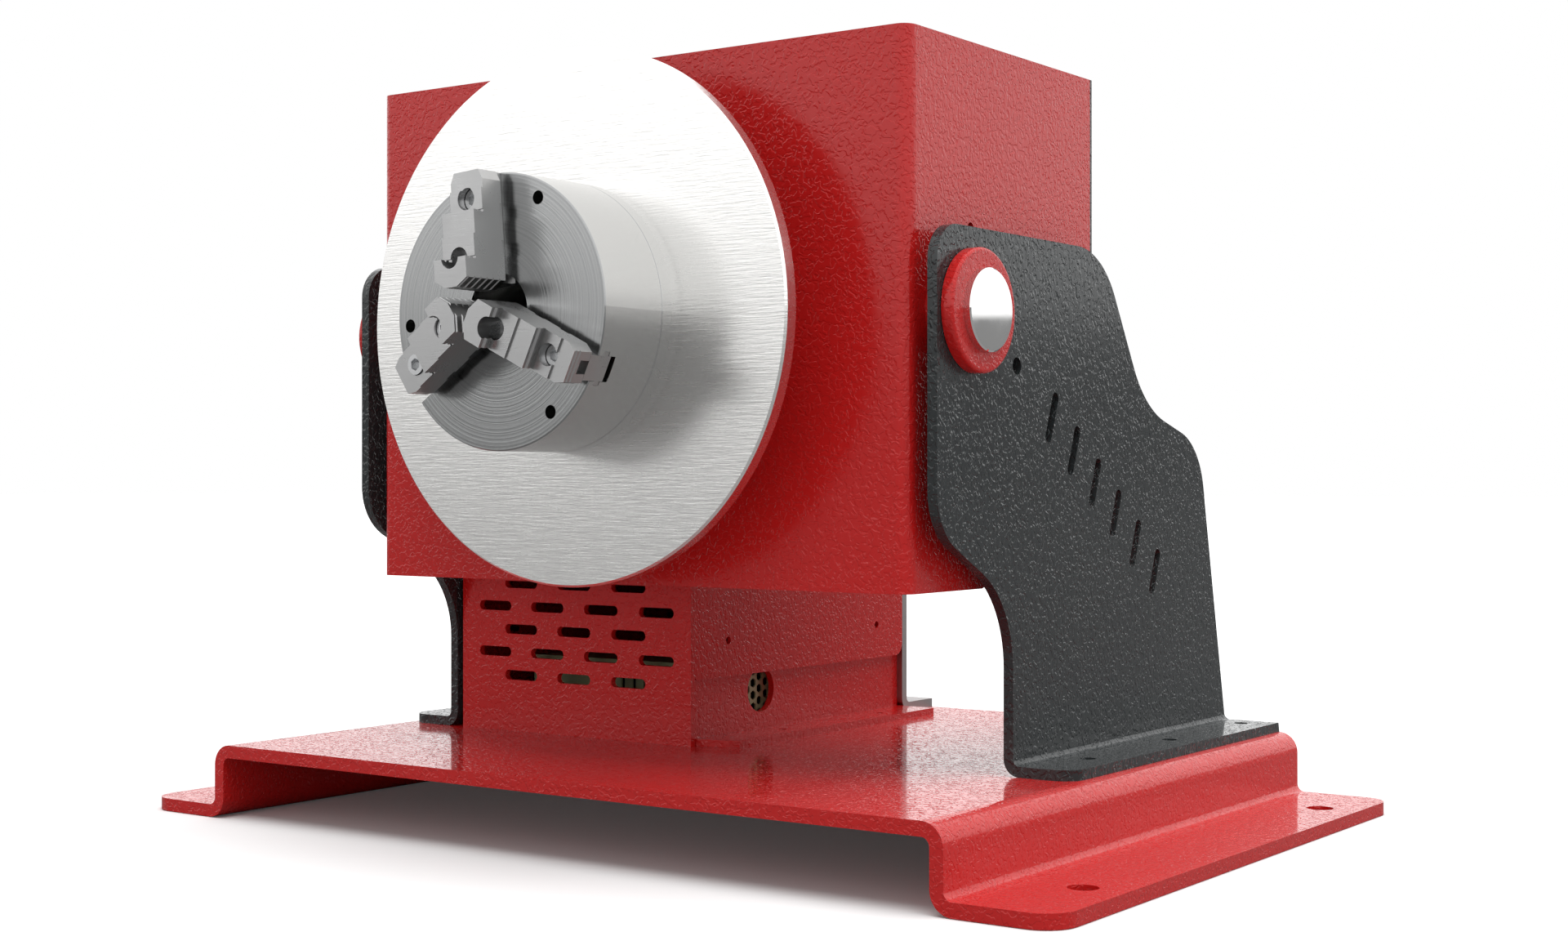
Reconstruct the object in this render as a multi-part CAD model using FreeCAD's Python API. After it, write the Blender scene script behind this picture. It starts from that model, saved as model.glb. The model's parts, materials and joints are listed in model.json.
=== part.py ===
import FreeCAD, Part
import math
import os

V = FreeCAD.Vector
X, Y, Z = V(1, 0, 0), V(0, 1, 0), V(0, 0, 1)

# Bench welding positioner, millimetres. +Z is up and the chuck looks along -Y.
# The origin lies on the bench plane, midway between the four base bolts.

# ---- base plate: one bent sheet with a raised deck and two side flanges
base_t = 6.5
deck_margin = 10.2
flange_reach = 51.9
base_top = 37.7
base_front = -188.0
base_back = 180.0
base_bend = 4.0
base_corner = 15.0
bolt_edge = 19.7
bolt_y = 130.0
bolt_hole_r = 6.75

# ---- tilting housing: bent wrap, flat top, rounded belly and a back cover
housing_half = 162.5
housing_front = -124.7
housing_depth = 174.0
housing_height = 250.9
housing_bottom = 123.9
housing_wall = 3.0
housing_corner = 6.5
back_t = 2.0
belly_t = 2.0
belly_r = 130.0
belly_rise = 31.0

# ---- tilt axis and its trunnions
trunnion_back = 30.9
axis_z = 249.5
boss_r = 28.0
boss_proud = 6.1
boss_round = 1.6
boss_clear = 0.3
journal_r = 23.0
neck_r = 17.0
pin_r = 18.75
pin_proud = 3.7
pin_shoulder = 2.0
pin_shank_r = 12.0
pin_collar_r = 20.0
pin_collar_t = 8.0
index_radius = 46.0
index_hole_r = 2.7
index_angles = (-30, 0, 30, 60)

# ---- side brackets
bracket_t = 5.0
bracket_bend = 3.0
bracket_gap = 9.7
bracket_foot = 36.0
bracket_front = -57.6
bracket_nose = -124.6
bracket_top = 286.9
bracket_throat_z = 118.0
bracket_chin_z = 152.0
bracket_crown_y = 32.2
bracket_waist = (79.4, 210.4)
bracket_elbow = (145.7, 192.4)
foot_corner = 11.0
foot_bolt_r = 3.65
foot_bolt_inset = 15.6
foot_bolt_y = (-13.2, 75.8, 164.8)
lock_hole_r = 4.0
lock_angle = -30.0
window_count = 6
window_len = 25.0
window_wide = 6.0
window_pitch = 27.0
window_start = (-20.0, 203.5)
window_slope = -34.9

# ---- control box under the housing, offset to the left
box_side_gap = 2.4
box_width = 158.8
box_front = -55.8
box_back = 146.3
box_gap = 1.5
box_sheet = 3.5
floor_t = 3.5
wall_top = 104.0
flap_bottom = 71.2
flap_corner = 7.0
box_foot = 21.5
foot_taper = 5.5
foot_chamfer = 4.0
foot_screw_y = (10.4, 105.4)
foot_screw_edge = 11.0
inner_screw_edge = 13.0
panel_screw_edge = 18.0
small_screw_r = 2.0
window_r = 11.9
window_y = 9.9
window_z = 61.5
vent_len = 23.0
vent_wide = 5.25
vent_pitch_x = 37.35
vent_pitch_z = 12.43
vent_first = (24.2, 30.2)
vent_rows = (3, 4, 3, 4, 3)
cover_screw_r = 1.9
cover_screw_head = 1.4
cover_screw_z = 90.1
cover_screw_y = (-23.7, 118.7)

# ---- rear panel and what it carries
rear_t = 5.0
rear_foot = 33.7
panel_z = 88.0
inlet_share = 0.80
switch_share = 0.56
dial_share = 0.34
socket_share = 0.13
rocker_pivot = 1.4

# ---- power supply and controller board inside the control box
psu_len = 150.0
psu_wide = 112.0
psu_height = 37.0
psu_sheet = 1.0
psu_gap = 1.6
psu_setback = 16.0
perf_flat = 4.6
perf_pitch = 6.5
perf_columns = 9
perf_low = 4.0
slit_count = 7
slit_pitch = 7.45
slit_wide = 2.2
slit_edge = 11.9
slit_margin = 7.0
psu_eyes = ((25.6, 2.2), (44.6, 6.0))
strip_ways = 8
board_gap = 3.0
board_setback = 40.0
board_t = 1.6
post_h = 8.0
post_r = 2.5
post_inset = 4.0
fin_pitch = 5.0
fin_t = 1.6
fin_h = 19.0
sink_t = 3.4
fin_len = 40.0
can_r = 7.0
can_h = 22.0

# ---- spindle, bearings and drive
spindle_bore_r = 15.0
seat_r = 25.0
race_r = 40.0
bearing_w = 16.0
roller_r = 3.9
roller_count = 12
cartridge_r = 50.0
cartridge_flange_r = 66.0
cartridge_flange_t = 8.0
cartridge_depth = 62.7
cap_screw_pcr = 58.0
cap_screw_angles = range(30, 390, 60)
spindle_flange_r = 45.0
spindle_flange_t = 10.0
flange_bolt_pcr = 36.5
flange_bolt_angles = range(15, 375, 60)
gear_module = 2.0
gear_teeth = 48
pinion_teeth = 16
gear_w = 12.0
gear_backlash = 0.35
motor_angle = 60.0
motor_r = 25.0
motor_back_gap = 8.3
bell_t = 4.0
gearbox_r = 28.0
gearbox_len = 26.0
motor_plate_t = 5.0
motor_plate_half = 42.0
motor_pilot_r = 11.0

# ---- faceplate and chuck
plate_r = 125.5
plate_t = 8.2
plate_gap = 31.8
chuck_r = 62.5
chuck_len = 39.3
adapter_t = 7.0
bore_r = 17.5
joint_bevel = 0.3
chuck_bolt_r = 3.0
chuck_bolt_pcr = 55.0
chuck_bolt_angle = 64.4
jaw_angle = 94.3
jaw_count = 3

# ---- chuck mechanism, depths below the chuck face
neck_half = 6.0
guide_half = 8.0
guide_top = 3.6
guide_low = 6.9
pocket_top = 9.2
slot_fit = 0.1
scroll_pitch = 8.0
scroll_r0 = 24.3
scroll_r1 = 49.5
ridge_w = 3.0
ridge_h = 2.2
scroll_t = 9.4
hub_r = 24.0
pocket_r = 50.0
crown_teeth = 60
crown_r = (39.0, 48.0)
crown_h = 2.0
key_teeth = 8
key_r = 7.5
key_square = 4.0
key_offset = 60.0

# ---- jaws: radii from the chuck axis, heights above the chuck face
jaw_half = 9.5
jaw_seat = 4.4
jaw_tip = 9.0
jaw_end = 61.8
tread_1 = (29.4, 21.8)
tread_2 = (23.4, 43.0)
tread_3 = (16.9, 61.8)
half_step = 0.9
relief = 0.7
tooth = 0.7
tooth_pitch = 2.2
screw_at = (22.2, 49.3)
jaw_screw_r = 3.0
head_r = 4.7
head_h = 6.0
counterbore_r = 5.0
counterbore_z = 6.5
inner_turns = (0, 1, 0)
screw_lift = ((0.0, 0.0), (9.6, 5.2), (0.0, 0.0))

# ---- derived places
fit = 0.08
trunnion_y = housing_front + trunnion_back
housing_back = housing_front + housing_depth
housing_top = housing_bottom + housing_height
bracket_in = housing_half + bracket_gap
bracket_out = bracket_in + bracket_t
base_deck_half = bracket_in + bracket_foot + deck_margin
base_flange_half = base_deck_half + flange_reach
bolt_x = base_flange_half - bolt_edge
box_left = box_side_gap - bracket_in
box_right = box_left + box_width
box_top = housing_bottom - box_gap
face_y = housing_front - plate_gap - plate_t - adapter_t - chuck_len
plate_back = -(chuck_len + adapter_t + plate_t)
bearing_front = housing_front + 4.7
bearing_rear = housing_front + cartridge_depth - 6.0 - bearing_w
gear_y = housing_front + cartridge_depth + 4.0
nut_y = gear_y + gear_w
motor_plate_y = nut_y + 16.0
motor_centre = gear_module * (gear_teeth + pinion_teeth) / 2.0
motor_x = motor_centre * math.cos(math.radians(motor_angle))
motor_z = axis_z + motor_centre * math.sin(math.radians(motor_angle))
jaw_angles = [jaw_angle + 360.0 / jaw_count * k for k in range(jaw_count)]
key_angle = jaw_angle + key_offset
slot_depth = pocket_top + ridge_h + 0.1
scroll_top = -(pocket_top + 0.2)
keel_low = pocket_top - 0.3

parts = {}


# ------------------------------------------------------------------ helpers
def keep(name, shape):
    """Store a finished sub-part under its node name."""
    parts[name] = shape


def box(x0, x1, y0, y1, z0, z1):
    return Part.makeBox(x1 - x0, y1 - y0, z1 - z0, V(x0, y0, z0))


def rod(centre, axis, r, length):
    return Part.makeCylinder(r, length, centre, axis)


def tube(centre, axis, r_out, r_in, length):
    return rod(centre, axis, r_out, length).cut(rod(centre - axis, axis, r_in, length + 2))


def fuse(shapes):
    first, *rest = shapes
    return first.multiFuse(rest).removeSplitter() if rest else first


def cut(shape, tools):
    return shape.cut(Part.makeCompound(tools)) if tools else shape


def outline(points, lift):
    """Face from (u, v) or (u, v, radius) corners, rounded with tangent arcs; lift maps u, v to 3D."""
    n = len(points)
    edges, last, first = [], None, None
    for i, p in enumerate(points):
        here = V(p[0], p[1], 0)
        r = p[2] if len(p) > 2 else 0
        if r:
            a = (V(points[i - 1][0], points[i - 1][1], 0) - here).normalize()
            b = (V(points[(i + 1) % n][0], points[(i + 1) % n][1], 0) - here).normalize()
            half = a.getAngle(b) / 2
            reach = r / math.tan(half)
            middle = here + (a + b).normalize() * (r / math.sin(half) - r)
            start, end = here + a * reach, here + b * reach
        else:
            start = end = here
        if last is not None and (start - last).Length > 1e-6:
            edges.append(Part.makeLine(lift(last.x, last.y), lift(start.x, start.y)))
        if r:
            through = [lift(q.x, q.y) for q in (start, middle, end)]
            edges.append(Part.Arc(*through).toShape())
        if first is None:
            first = start
        last = end
    if (first - last).Length > 1e-6:
        edges.append(Part.makeLine(lift(last.x, last.y), lift(first.x, first.y)))
    return Part.Face(Part.Wire(edges))


def plan(points, z0, z1):
    return outline(points, lambda u, v: V(u, v, z0)).extrude(Z * (z1 - z0))


def front(points, y0, y1):
    return outline(points, lambda u, v: V(u, y0, v)).extrude(Y * (y1 - y0))


def side(points, x0, x1):
    return outline(points, lambda u, v: V(x0, u, v)).extrude(X * (x1 - x0))


def rect(u0, u1, v0, v1, r=0):
    return [(u0, v0, r), (u1, v0, r), (u1, v1, r), (u0, v1, r)]


def mirror(shape):
    return shape.mirror(V(0, 0, 0), X)


def turned(shape, centre, axis, degrees):
    copy = shape.copy()
    copy.rotate(centre, axis, degrees)
    return copy


def ring_of(shape, count, centre, axis, first=0.0):
    return [turned(shape, centre, axis, first + 360.0 / count * k) for k in range(count)]


def hexagon(across, z0, z1, x=0.0, y=0.0):
    r = across / math.sqrt(3)
    points = [(x + r * math.cos(math.pi / 3 * k), y + r * math.sin(math.pi / 3 * k)) for k in range(6)]
    return plan(points, z0, z1)


def cap_screw(r, length, hr, hh, socket):
    """Socket head screw standing on z = 0: head above, shank below."""
    head = rod(V(0, 0, 0), Z, hr, hh).cut(hexagon(socket, hh * 0.45, hh + 1))
    return head.fuse(rod(V(0, 0, -length), Z, r, length))


def pan_screw(r, length, hr, hh):
    """Small screw with a cross slot, standing on z = 0."""
    head = rod(V(0, 0, 0), Z, hr, hh)
    slot = [box(-hr * 0.7, hr * 0.7, -0.3, 0.3, hh * 0.5, hh + 1)]
    slot.append(turned(slot[0], V(0, 0, 0), Z, 90))
    return cut(head, slot).fuse(rod(V(0, 0, -length), Z, r, length))


def hex_bolt(r, length, across, hh):
    """Hex head bolt: head below z = 0, shank above."""
    return hexagon(across, -hh, 0).fuse(rod(V(0, 0, 0), Z, r, length))


def place(shape, at, axis=Z, spin=0.0):
    """Move a shape made on +Z so that its +Z looks along axis and its origin sits at the given point."""
    copy = shape.copy()
    copy.rotate(V(0, 0, 0), Z, spin)
    copy.Placement = FreeCAD.Placement(at, FreeCAD.Rotation(Z, axis)).multiply(copy.Placement)
    return copy


def on_spindle(shape):
    """Chuck frame to part frame: local +Z looks out of the chuck face, local +Y is up."""
    copy = shape.copy()
    copy.rotate(V(0, 0, 0), X, 90)
    copy.translate(V(0, face_y, axis_z))
    return copy


def polar(r, degrees, z=0.0):
    a = math.radians(degrees)
    return V(r * math.cos(a), r * math.sin(a), z)


# ------------------------------------------------------------------ base plate
def base_plate():
    outer = base_bend + base_t
    low = base_top - base_t
    web = base_deck_half - base_t
    right = [(base_flange_half, 0), (base_flange_half, base_t), (base_deck_half, base_t, base_bend),
             (base_deck_half, base_top, outer)]
    right_under = [(web, low, base_bend), (web, 0, outer)]
    profile = right + [(-u, v, *r) for u, v, *r in reversed(right)]
    profile += [(-u, v, r) for u, v, r in reversed(right_under)] + right_under
    plate = front(profile, base_front, base_back)
    corners = rect(-base_flange_half, base_flange_half, base_front, base_back, base_corner)
    plate = plate.common(plan(corners, -1, base_top + 1))
    holes = [rod(V(sx * bolt_x, sy * bolt_y, -1), Z, bolt_hole_r, base_t + 2)
             for sx in (-1, 1) for sy in (-1, 1)]
    for sx in (-1, 1):
        for y in foot_bolt_y:
            holes.append(rod(V(sx * foot_bolt_x(), y, low - 1), Z, foot_bolt_r + fit, base_t + 2))
    for x, y in box_screw_places():
        holes.append(rod(V(x, y, low - 1), Z, small_screw_r + fit, base_t + 2))
    return cut(plate, holes)


def foot_bolt_x():
    return bracket_out + bracket_foot - foot_bolt_inset - bracket_t


def box_screw_places():
    foot = [(box_right + box_foot - foot_screw_edge, y) for y in foot_screw_y]
    inside = [(box_left + inner_screw_edge, y) for y in foot_screw_y]
    panel = [(x, box_back + rear_t + rear_foot * 0.55)
             for x in (box_left + panel_screw_edge, box_right - panel_screw_edge)]
    return foot + inside + panel


# ------------------------------------------------------------------ side brackets
def bracket_right():
    foot_x = bracket_in + bracket_foot
    ell = [(bracket_in, base_top, bracket_bend + bracket_t), (foot_x, base_top),
           (foot_x, base_top + bracket_t),
           (bracket_out, base_top + bracket_t, bracket_bend), (bracket_out, bracket_top + 1),
           (bracket_in, bracket_top + 1)]
    sheet = front(ell, bracket_nose - 1, base_back)
    shape = [(bracket_front, base_top - 1), (bracket_front, bracket_throat_z, 50.0),
             (bracket_nose, bracket_chin_z, 29.0), (bracket_nose, bracket_top, 17.0),
             (bracket_crown_y, bracket_top, 46.0), (*bracket_waist, 60.0), (*bracket_elbow, 38.0),
             (base_back, base_top - 1)]
    sheet = sheet.common(side(shape, bracket_in - 1, foot_x + 1))
    toe = [(bracket_in - 1, bracket_nose - 1), (bracket_out + bracket_bend, bracket_nose - 1),
           (bracket_out + bracket_bend, bracket_front), (foot_x, bracket_front, foot_corner),
           (foot_x, base_back), (bracket_in - 1, base_back)]
    sheet = sheet.common(plan(toe, base_top - 1, bracket_top + 2))
    holes = [rod(V(bracket_in - 1, trunnion_y, axis_z), X, journal_r + fit, bracket_t + 2),
             place(rod(V(0, 0, 0), Z, lock_hole_r, bracket_t + 2), index_point(lock_angle, bracket_in - 1), X)]
    holes += [rod(V(foot_bolt_x(), y, base_top - 1), Z, foot_bolt_r + fit, bracket_t + 2) for y in foot_bolt_y]
    return cut(sheet, holes + weight_windows())


def weight_windows():
    """Row of plain slots cut through the bracket along its rear slope."""
    slope = math.radians(window_slope)
    slots = []
    for k in range(window_count):
        y = window_start[0] + window_pitch * k * math.cos(slope)
        z = window_start[1] + window_pitch * k * math.sin(slope)
        h, w = window_len / 2, window_wide / 2
        slot = side(rect(-w, w, -h, h, w * 0.98), bracket_in - 1, bracket_out + 1)
        slot.rotate(V(0, 0, 0), X, window_slope + 14)
        slot.translate(V(0, y, z))
        slots.append(slot)
    return slots


def index_point(angle, x):
    a = math.radians(angle)
    return V(x, trunnion_y + index_radius * math.cos(a), axis_z + index_radius * math.sin(a))


def bracket_bolts():
    bolt = hex_bolt(foot_bolt_r, base_t + bracket_t - 1.5, 11.0, 4.5)
    low = base_top - base_t
    places = [V(sx * foot_bolt_x(), y, low) for sx in (-1, 1) for y in foot_bolt_y]
    return Part.makeCompound([place(bolt, at) for at in places])


# ------------------------------------------------------------------ control box
def vent_slots(y0, y1):
    """Rows of obround vents, three and four by turns."""
    slots = []
    for row, count in enumerate(vent_rows):
        shift = vent_pitch_x / 2 if count == 3 else 0.0
        for k in range(count):
            x = box_left + vent_first[0] + shift + vent_pitch_x * k
            z = base_top + vent_first[1] + vent_pitch_z * row
            slots.append(front(rect(x - vent_len / 2, x + vent_len / 2, z - vent_wide / 2, z + vent_wide / 2,
                                    vent_wide * 0.49), y0, y1))
    return slots


def box_chassis():
    """Floor, front panel and low side walls bent from one sheet, with an outside foot on the right."""
    z0, t = base_top, floor_t
    wall = box_right - box_sheet
    left = box_left + box_sheet
    front_back = box_front + t
    foot_x = box_right + box_foot
    foot = [(wall - t, front_back), (foot_x - foot_chamfer, front_back + foot_taper),
            (foot_x, front_back + foot_taper + foot_chamfer), (foot_x, box_back), (wall - t, box_back)]
    pan = fuse([box(left, wall, box_front, box_back, z0, z0 + t),
                box(box_left, box_right, box_front, front_back, z0, box_top - box_sheet),
                box(wall - t, wall, box_front, box_back, z0, wall_top),
                box(left, left + t, box_front, box_back, z0, wall_top),
                plan(foot, z0, z0 + t)])
    holes = vent_slots(box_front - 1, front_back + 1)
    holes.append(rod(V(wall - t - 1, window_y, window_z), X, window_r, t + 2))
    for x in (left - 1, wall - t - 1):
        holes += [rod(V(x, y, cover_screw_z), X, cover_screw_r * 0.75 + fit, t + 2) for y in cover_screw_y]
    holes += [rod(V(x, y, z0 - 1), Z, small_screw_r + fit, t + 2) for x, y in box_screw_places()[:4]]
    return cut(pan, holes)


def box_cover():
    """Inverted tray: top sheet and two side flaps that lap over the chassis walls."""
    t = box_sheet
    y0 = box_front + floor_t
    top = box(box_left, box_right, box_front, box_back, box_top - t, box_top)
    flap = [(y0, box_top), (y0, flap_bottom, flap_corner / 3), (box_back, flap_bottom, flap_corner),
            (box_back, box_top)]
    flaps = [side(flap, x, x + t) for x in (box_left, box_right - t)]
    holes = [rod(V(x - 1, y, cover_screw_z), X, cover_screw_r + fit, t + 2)
             for x in (box_left, box_right - t) for y in cover_screw_y]
    return cut(fuse([top] + flaps), holes)


def cover_screws():
    screw = pan_screw(cover_screw_r * 0.75, floor_t + 4, cover_screw_r, cover_screw_head)
    placed = []
    for y in cover_screw_y:
        placed.append(place(screw, V(box_right - box_sheet, y, cover_screw_z), X))
        placed.append(place(screw, V(box_left + box_sheet, y, cover_screw_z), X * -1))
    return Part.makeCompound(placed)


def box_screws():
    low = base_top - base_t
    floor_bolt = hex_bolt(small_screw_r, base_t + floor_t - 0.4, 7.0, 2.8)
    panel_bolt = hex_bolt(small_screw_r, base_t + rear_t - 0.6, 7.0, 2.8)
    placed = [place(floor_bolt, V(x, y, low)) for x, y in box_screw_places()[:4]]
    placed += [place(panel_bolt, V(x, y, low)) for x, y in box_screw_places()[4:]]
    return Part.makeCompound(placed)


def rear_panel():
    """Bare steel angle that closes the box and stands on a foot bent to the rear."""
    y0, y1 = box_back, box_back + rear_t
    z0 = base_top
    ell = [(y0, z0, rear_t + 3), (y1 + rear_foot - rear_t, z0), (y1 + rear_foot - rear_t, z0 + rear_t),
           (y1, z0 + rear_t, 3), (y1, box_top), (y0, box_top)]
    plate = side(ell, box_left, box_right)
    holes = [front(shape, y0 - 1, y1 + 1) for shape in (inlet_cut(), rocker_cut())]
    holes += [rod(V(x, y0 - 1, z), Y, r + fit, rear_t + 2) for x, z, r in (dial_place(), socket_place())]
    holes += [rod(V(x, y, z0 - 1), Z, small_screw_r + fit, rear_t + 2) for x, y in box_screw_places()[4:]]
    holes += [rod(V(x, y0 - 1, panel_z), Y, 1.5 + fit, rear_t + 2) for x in inlet_screw_x()]
    return cut(plate, holes)


def panel_x(share):
    return box_left + (box_right - box_left) * share


def inlet_cut():
    x = panel_x(inlet_share)
    return rect(x - 13.5, x + 13.5, panel_z - 10, panel_z + 10, 2)


def rocker_cut():
    x = panel_x(switch_share)
    return rect(x - 9.6, x + 9.6, panel_z - 6.5, panel_z + 6.5, 0.5)


def dial_place():
    return panel_x(dial_share), panel_z, 4.7


def socket_place():
    return panel_x(socket_share), panel_z, 8.0


def mains_inlet():
    """Appliance inlet: flange, shroud behind the panel, recess and three blades."""
    x, y1 = panel_x(inlet_share), box_back + rear_t
    body = front(rect(x - 13.4, x + 13.4, panel_z - 9.9, panel_z + 9.9, 2), y1 - 24, y1)
    flange = front(rect(x - 24, x + 24, panel_z - 12, panel_z + 12, 5), y1, y1 + 3)
    recess = front([(x - 11.5, panel_z - 7.5, 1), (x + 11.5, panel_z - 7.5, 1), (x + 11.5, panel_z + 3.5),
                    (x + 7, panel_z + 8), (x - 7, panel_z + 8), (x - 11.5, panel_z + 3.5)], y1 - 14, y1 + 4)
    blades = [box(x + dx - 1, x + dx + 1, y1 - 14.5, y1 - 1, panel_z - 2, panel_z + 2) for dx in (-7, 0, 7)]
    screws = [place(pan_screw(1.5, 7, 2.8, 1.6), V(sx, y1 + 3, panel_z), Y) for sx in inlet_screw_x()]
    screw_holes = [rod(V(sx, y1 - 1, panel_z), Y, 1.5 + fit, 5) for sx in inlet_screw_x()]
    shell = cut(fuse([body, flange]), [recess] + screw_holes)
    return Part.makeCompound([shell] + blades), Part.makeCompound(screws)


def inlet_screw_x():
    return [panel_x(inlet_share) + dx for dx in (-19.5, 19.5)]


def power_switch():
    x, y1 = panel_x(switch_share), box_back + rear_t
    body = front(rect(x - 9.5, x + 9.5, panel_z - 6.4, panel_z + 6.4, 0.5), y1 - 18, y1)
    bezel = front(rect(x - 10.8, x + 10.8, panel_z - 7.6, panel_z + 7.6, 1), y1, y1 + 1.6)
    well = front(rect(x - 8.2, x + 8.2, panel_z - 5.2, panel_z + 5.2, 0.3), y1 - 7, y1 + 3)
    pivot = rod(V(x, y1 - rocker_pivot, panel_z - 6), Z, 1.0, 12)
    return fuse([cut(fuse([body, bezel]), [well]), pivot])


def power_rocker():
    """Rocker with two wings at a shallow angle, swinging on the pivot across the switch well."""
    x, y1 = panel_x(switch_share), box_back + rear_t
    wing = [(x - 7.2, y1 - 3.4), (x + 7.2, y1 - 3.4), (x + 7.2, y1 + 1.0), (x, y1 + 0.1), (x - 7.2, y1 + 3.0)]
    wedge = plan(wing, panel_z - 5.0, panel_z + 5.0)
    return wedge.cut(rod(V(x, y1 - rocker_pivot, panel_z - 6), Z, 1.0 + fit * 0.6, 12))


def speed_dial():
    """Potentiometer behind the panel with its bush and nut, shaft left to the knob."""
    x, z, r = dial_place()
    y1 = box_back + rear_t
    can = rod(V(x, box_back - 12, z), Y, 8, 12)
    bush = rod(V(x, box_back - 1, z), Y, r, rear_t + 4)
    nut = place(hexagon(13, 0, 2.2), V(x, y1, z), Y)
    shaft = rod(V(x, y1 + 3, z), Y, 3.0, 10)
    return fuse([can, bush, nut, shaft])


def speed_knob():
    x, z, _ = dial_place()
    y = box_back + rear_t + 4.0
    skirt = rod(V(x, y, z), Y, 14, 2.5)
    grip = rod(V(x, y + 2.5, z), Y, 10.5, 12.5)
    flutes = [rod(V(x + 11.2, y + 3.5, z), Y, 1.5, 13)]
    flutes = ring_of(flutes[0], 12, V(x, y, z), Y)
    mark = box(x - 0.4, x + 0.4, y + 14.4, y + 16, z, z + 9)
    hole = rod(V(x, y - 1, z), Y, 3.05, 10.2)
    return cut(fuse([skirt, grip]), flutes + [mark, hole])


def pedal_socket():
    """Round panel socket with a threaded collar and four contacts."""
    x, z, r = socket_place()
    y1 = box_back + rear_t
    body = rod(V(x, box_back - 10, z), Y, r, rear_t + 10)
    flange = front(rect(x - 12, x + 12, z - 12, z + 12, 3), y1, y1 + 2)
    collar = rod(V(x, y1 + 2, z), Y, 8.6, 8)
    shell = cut(fuse([body, flange, collar]), [rod(V(x, y1 + 1, z), Y, 6.4, 12)])
    pins = [rod(V(x + 3.4, y1 + 0.5, z), Y, 0.8, 7)]
    pins = ring_of(pins[0], 4, V(x, y1, z), Y, 45)
    return fuse([shell] + pins)


# ------------------------------------------------------------------ power supply
def psu_frame():
    x1 = box_right - box_sheet - floor_t - psu_gap
    y0 = box_front + psu_setback
    z0 = base_top + floor_t
    return x1 - psu_wide, x1, y0, y0 + psu_len, z0, z0 + psu_height


def power_supply_case():
    """Folded case: closed front end with slits, a perforated side, open at the terminal end."""
    x0, x1, y0, y1, z0, z1 = psu_frame()
    t = psu_sheet
    shell = box(x0, x1, y0, y1, z0, z1).cut(box(x0 + t, x1 - t, y0 + t, y1 + 1, z0 + t, z1 - t))
    holes = []
    for column in range(perf_columns):
        y = window_y + perf_pitch * math.sqrt(3) / 2 * (column - (perf_columns - 1) / 2)
        z = z0 + perf_low + (perf_pitch / 2 if column % 2 else 0)
        while z + perf_flat / 2 < z1 - 2 * t:
            holes.append(place(hexagon(perf_flat, -2, 2), V(x1 - t / 2, y, z), X))
            z += perf_pitch
    for k in range(slit_count):
        x = x1 - slit_edge - slit_pitch * k
        slit = rect(x - slit_wide / 2, x + slit_wide / 2, z0 + slit_margin, z1 - slit_margin, slit_wide * 0.48)
        holes.append(front(slit, y0 - 1, y0 + t + 1))
    holes += [rod(V(x0 + dx, y0 - 1, (z0 + z1) / 2), Y, r, t + 2) for dx, r in psu_eyes]
    return cut(shell, holes)


def power_supply_terminals():
    """Barrier strip across the open end, with the board and the transformer behind it."""
    x0, x1, y0, y1, z0, z1 = psu_frame()
    deck = z0 + psu_sheet + 4.0
    board = box(x0 + psu_sheet, x1 - psu_sheet, y0 + psu_sheet, y1 - 2, deck, deck + board_t)
    strip = box(x0 + 18, x1 - 8, y1 - 14, y1 - 2, deck + board_t, deck + 13)
    step = (x1 - x0 - 26) / strip_ways
    cells = [box(x0 + 18.6 + step * k, x0 + 18 + step * (k + 1) - 0.6, y1 - 12, y1 - 1, deck + 7, deck + 14)
             for k in range(strip_ways)]
    transformer = box(x0 + 20, x0 + 62, y0 + 40, y0 + 80, deck + board_t, z1 - 4)
    feet = [rod(V(x, y, z0 + psu_sheet), Z, post_r, 4.0) for x in (x0 + 8, x1 - 8) for y in (y0 + 20, y1 - 20)]
    return fuse([board, cut(strip, cells), transformer] + feet)


def speed_controller():
    """Motor control board on four posts beside the power supply."""
    x0 = box_left + box_sheet + floor_t + board_gap
    x1 = psu_frame()[0] - board_gap
    y0, y1 = psu_frame()[2] + board_setback, psu_frame()[3]
    z0 = base_top + floor_t
    deck = z0 + post_h + board_t
    board = box(x0, x1, y0, y1, z0 + post_h, deck)
    posts = [rod(V(x, y, z0), Z, post_r, post_h)
             for x in (x0 + post_inset, x1 - post_inset) for y in (y0 + post_inset, y1 - post_inset)]
    s0, s1 = y1 - 10 - fin_len, y1 - 10
    sink = box(x0 + post_inset, x1 - post_inset, s0, s1, deck, deck + sink_t)
    count = int((x1 - x0 - 2 * post_inset) / fin_pitch)
    fin_x = [x0 + post_inset + fin_pitch * k for k in range(count)]
    fins = [box(x, x + fin_t, s0, s1, deck, deck + sink_t + fin_h) for x in fin_x]
    cans = [rod(V((x0 + x1) / 2, s0 - gap, deck), Z, can_r, can_h) for gap in (12, 32)]
    return fuse([board, sink] + posts + fins + cans)


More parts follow.
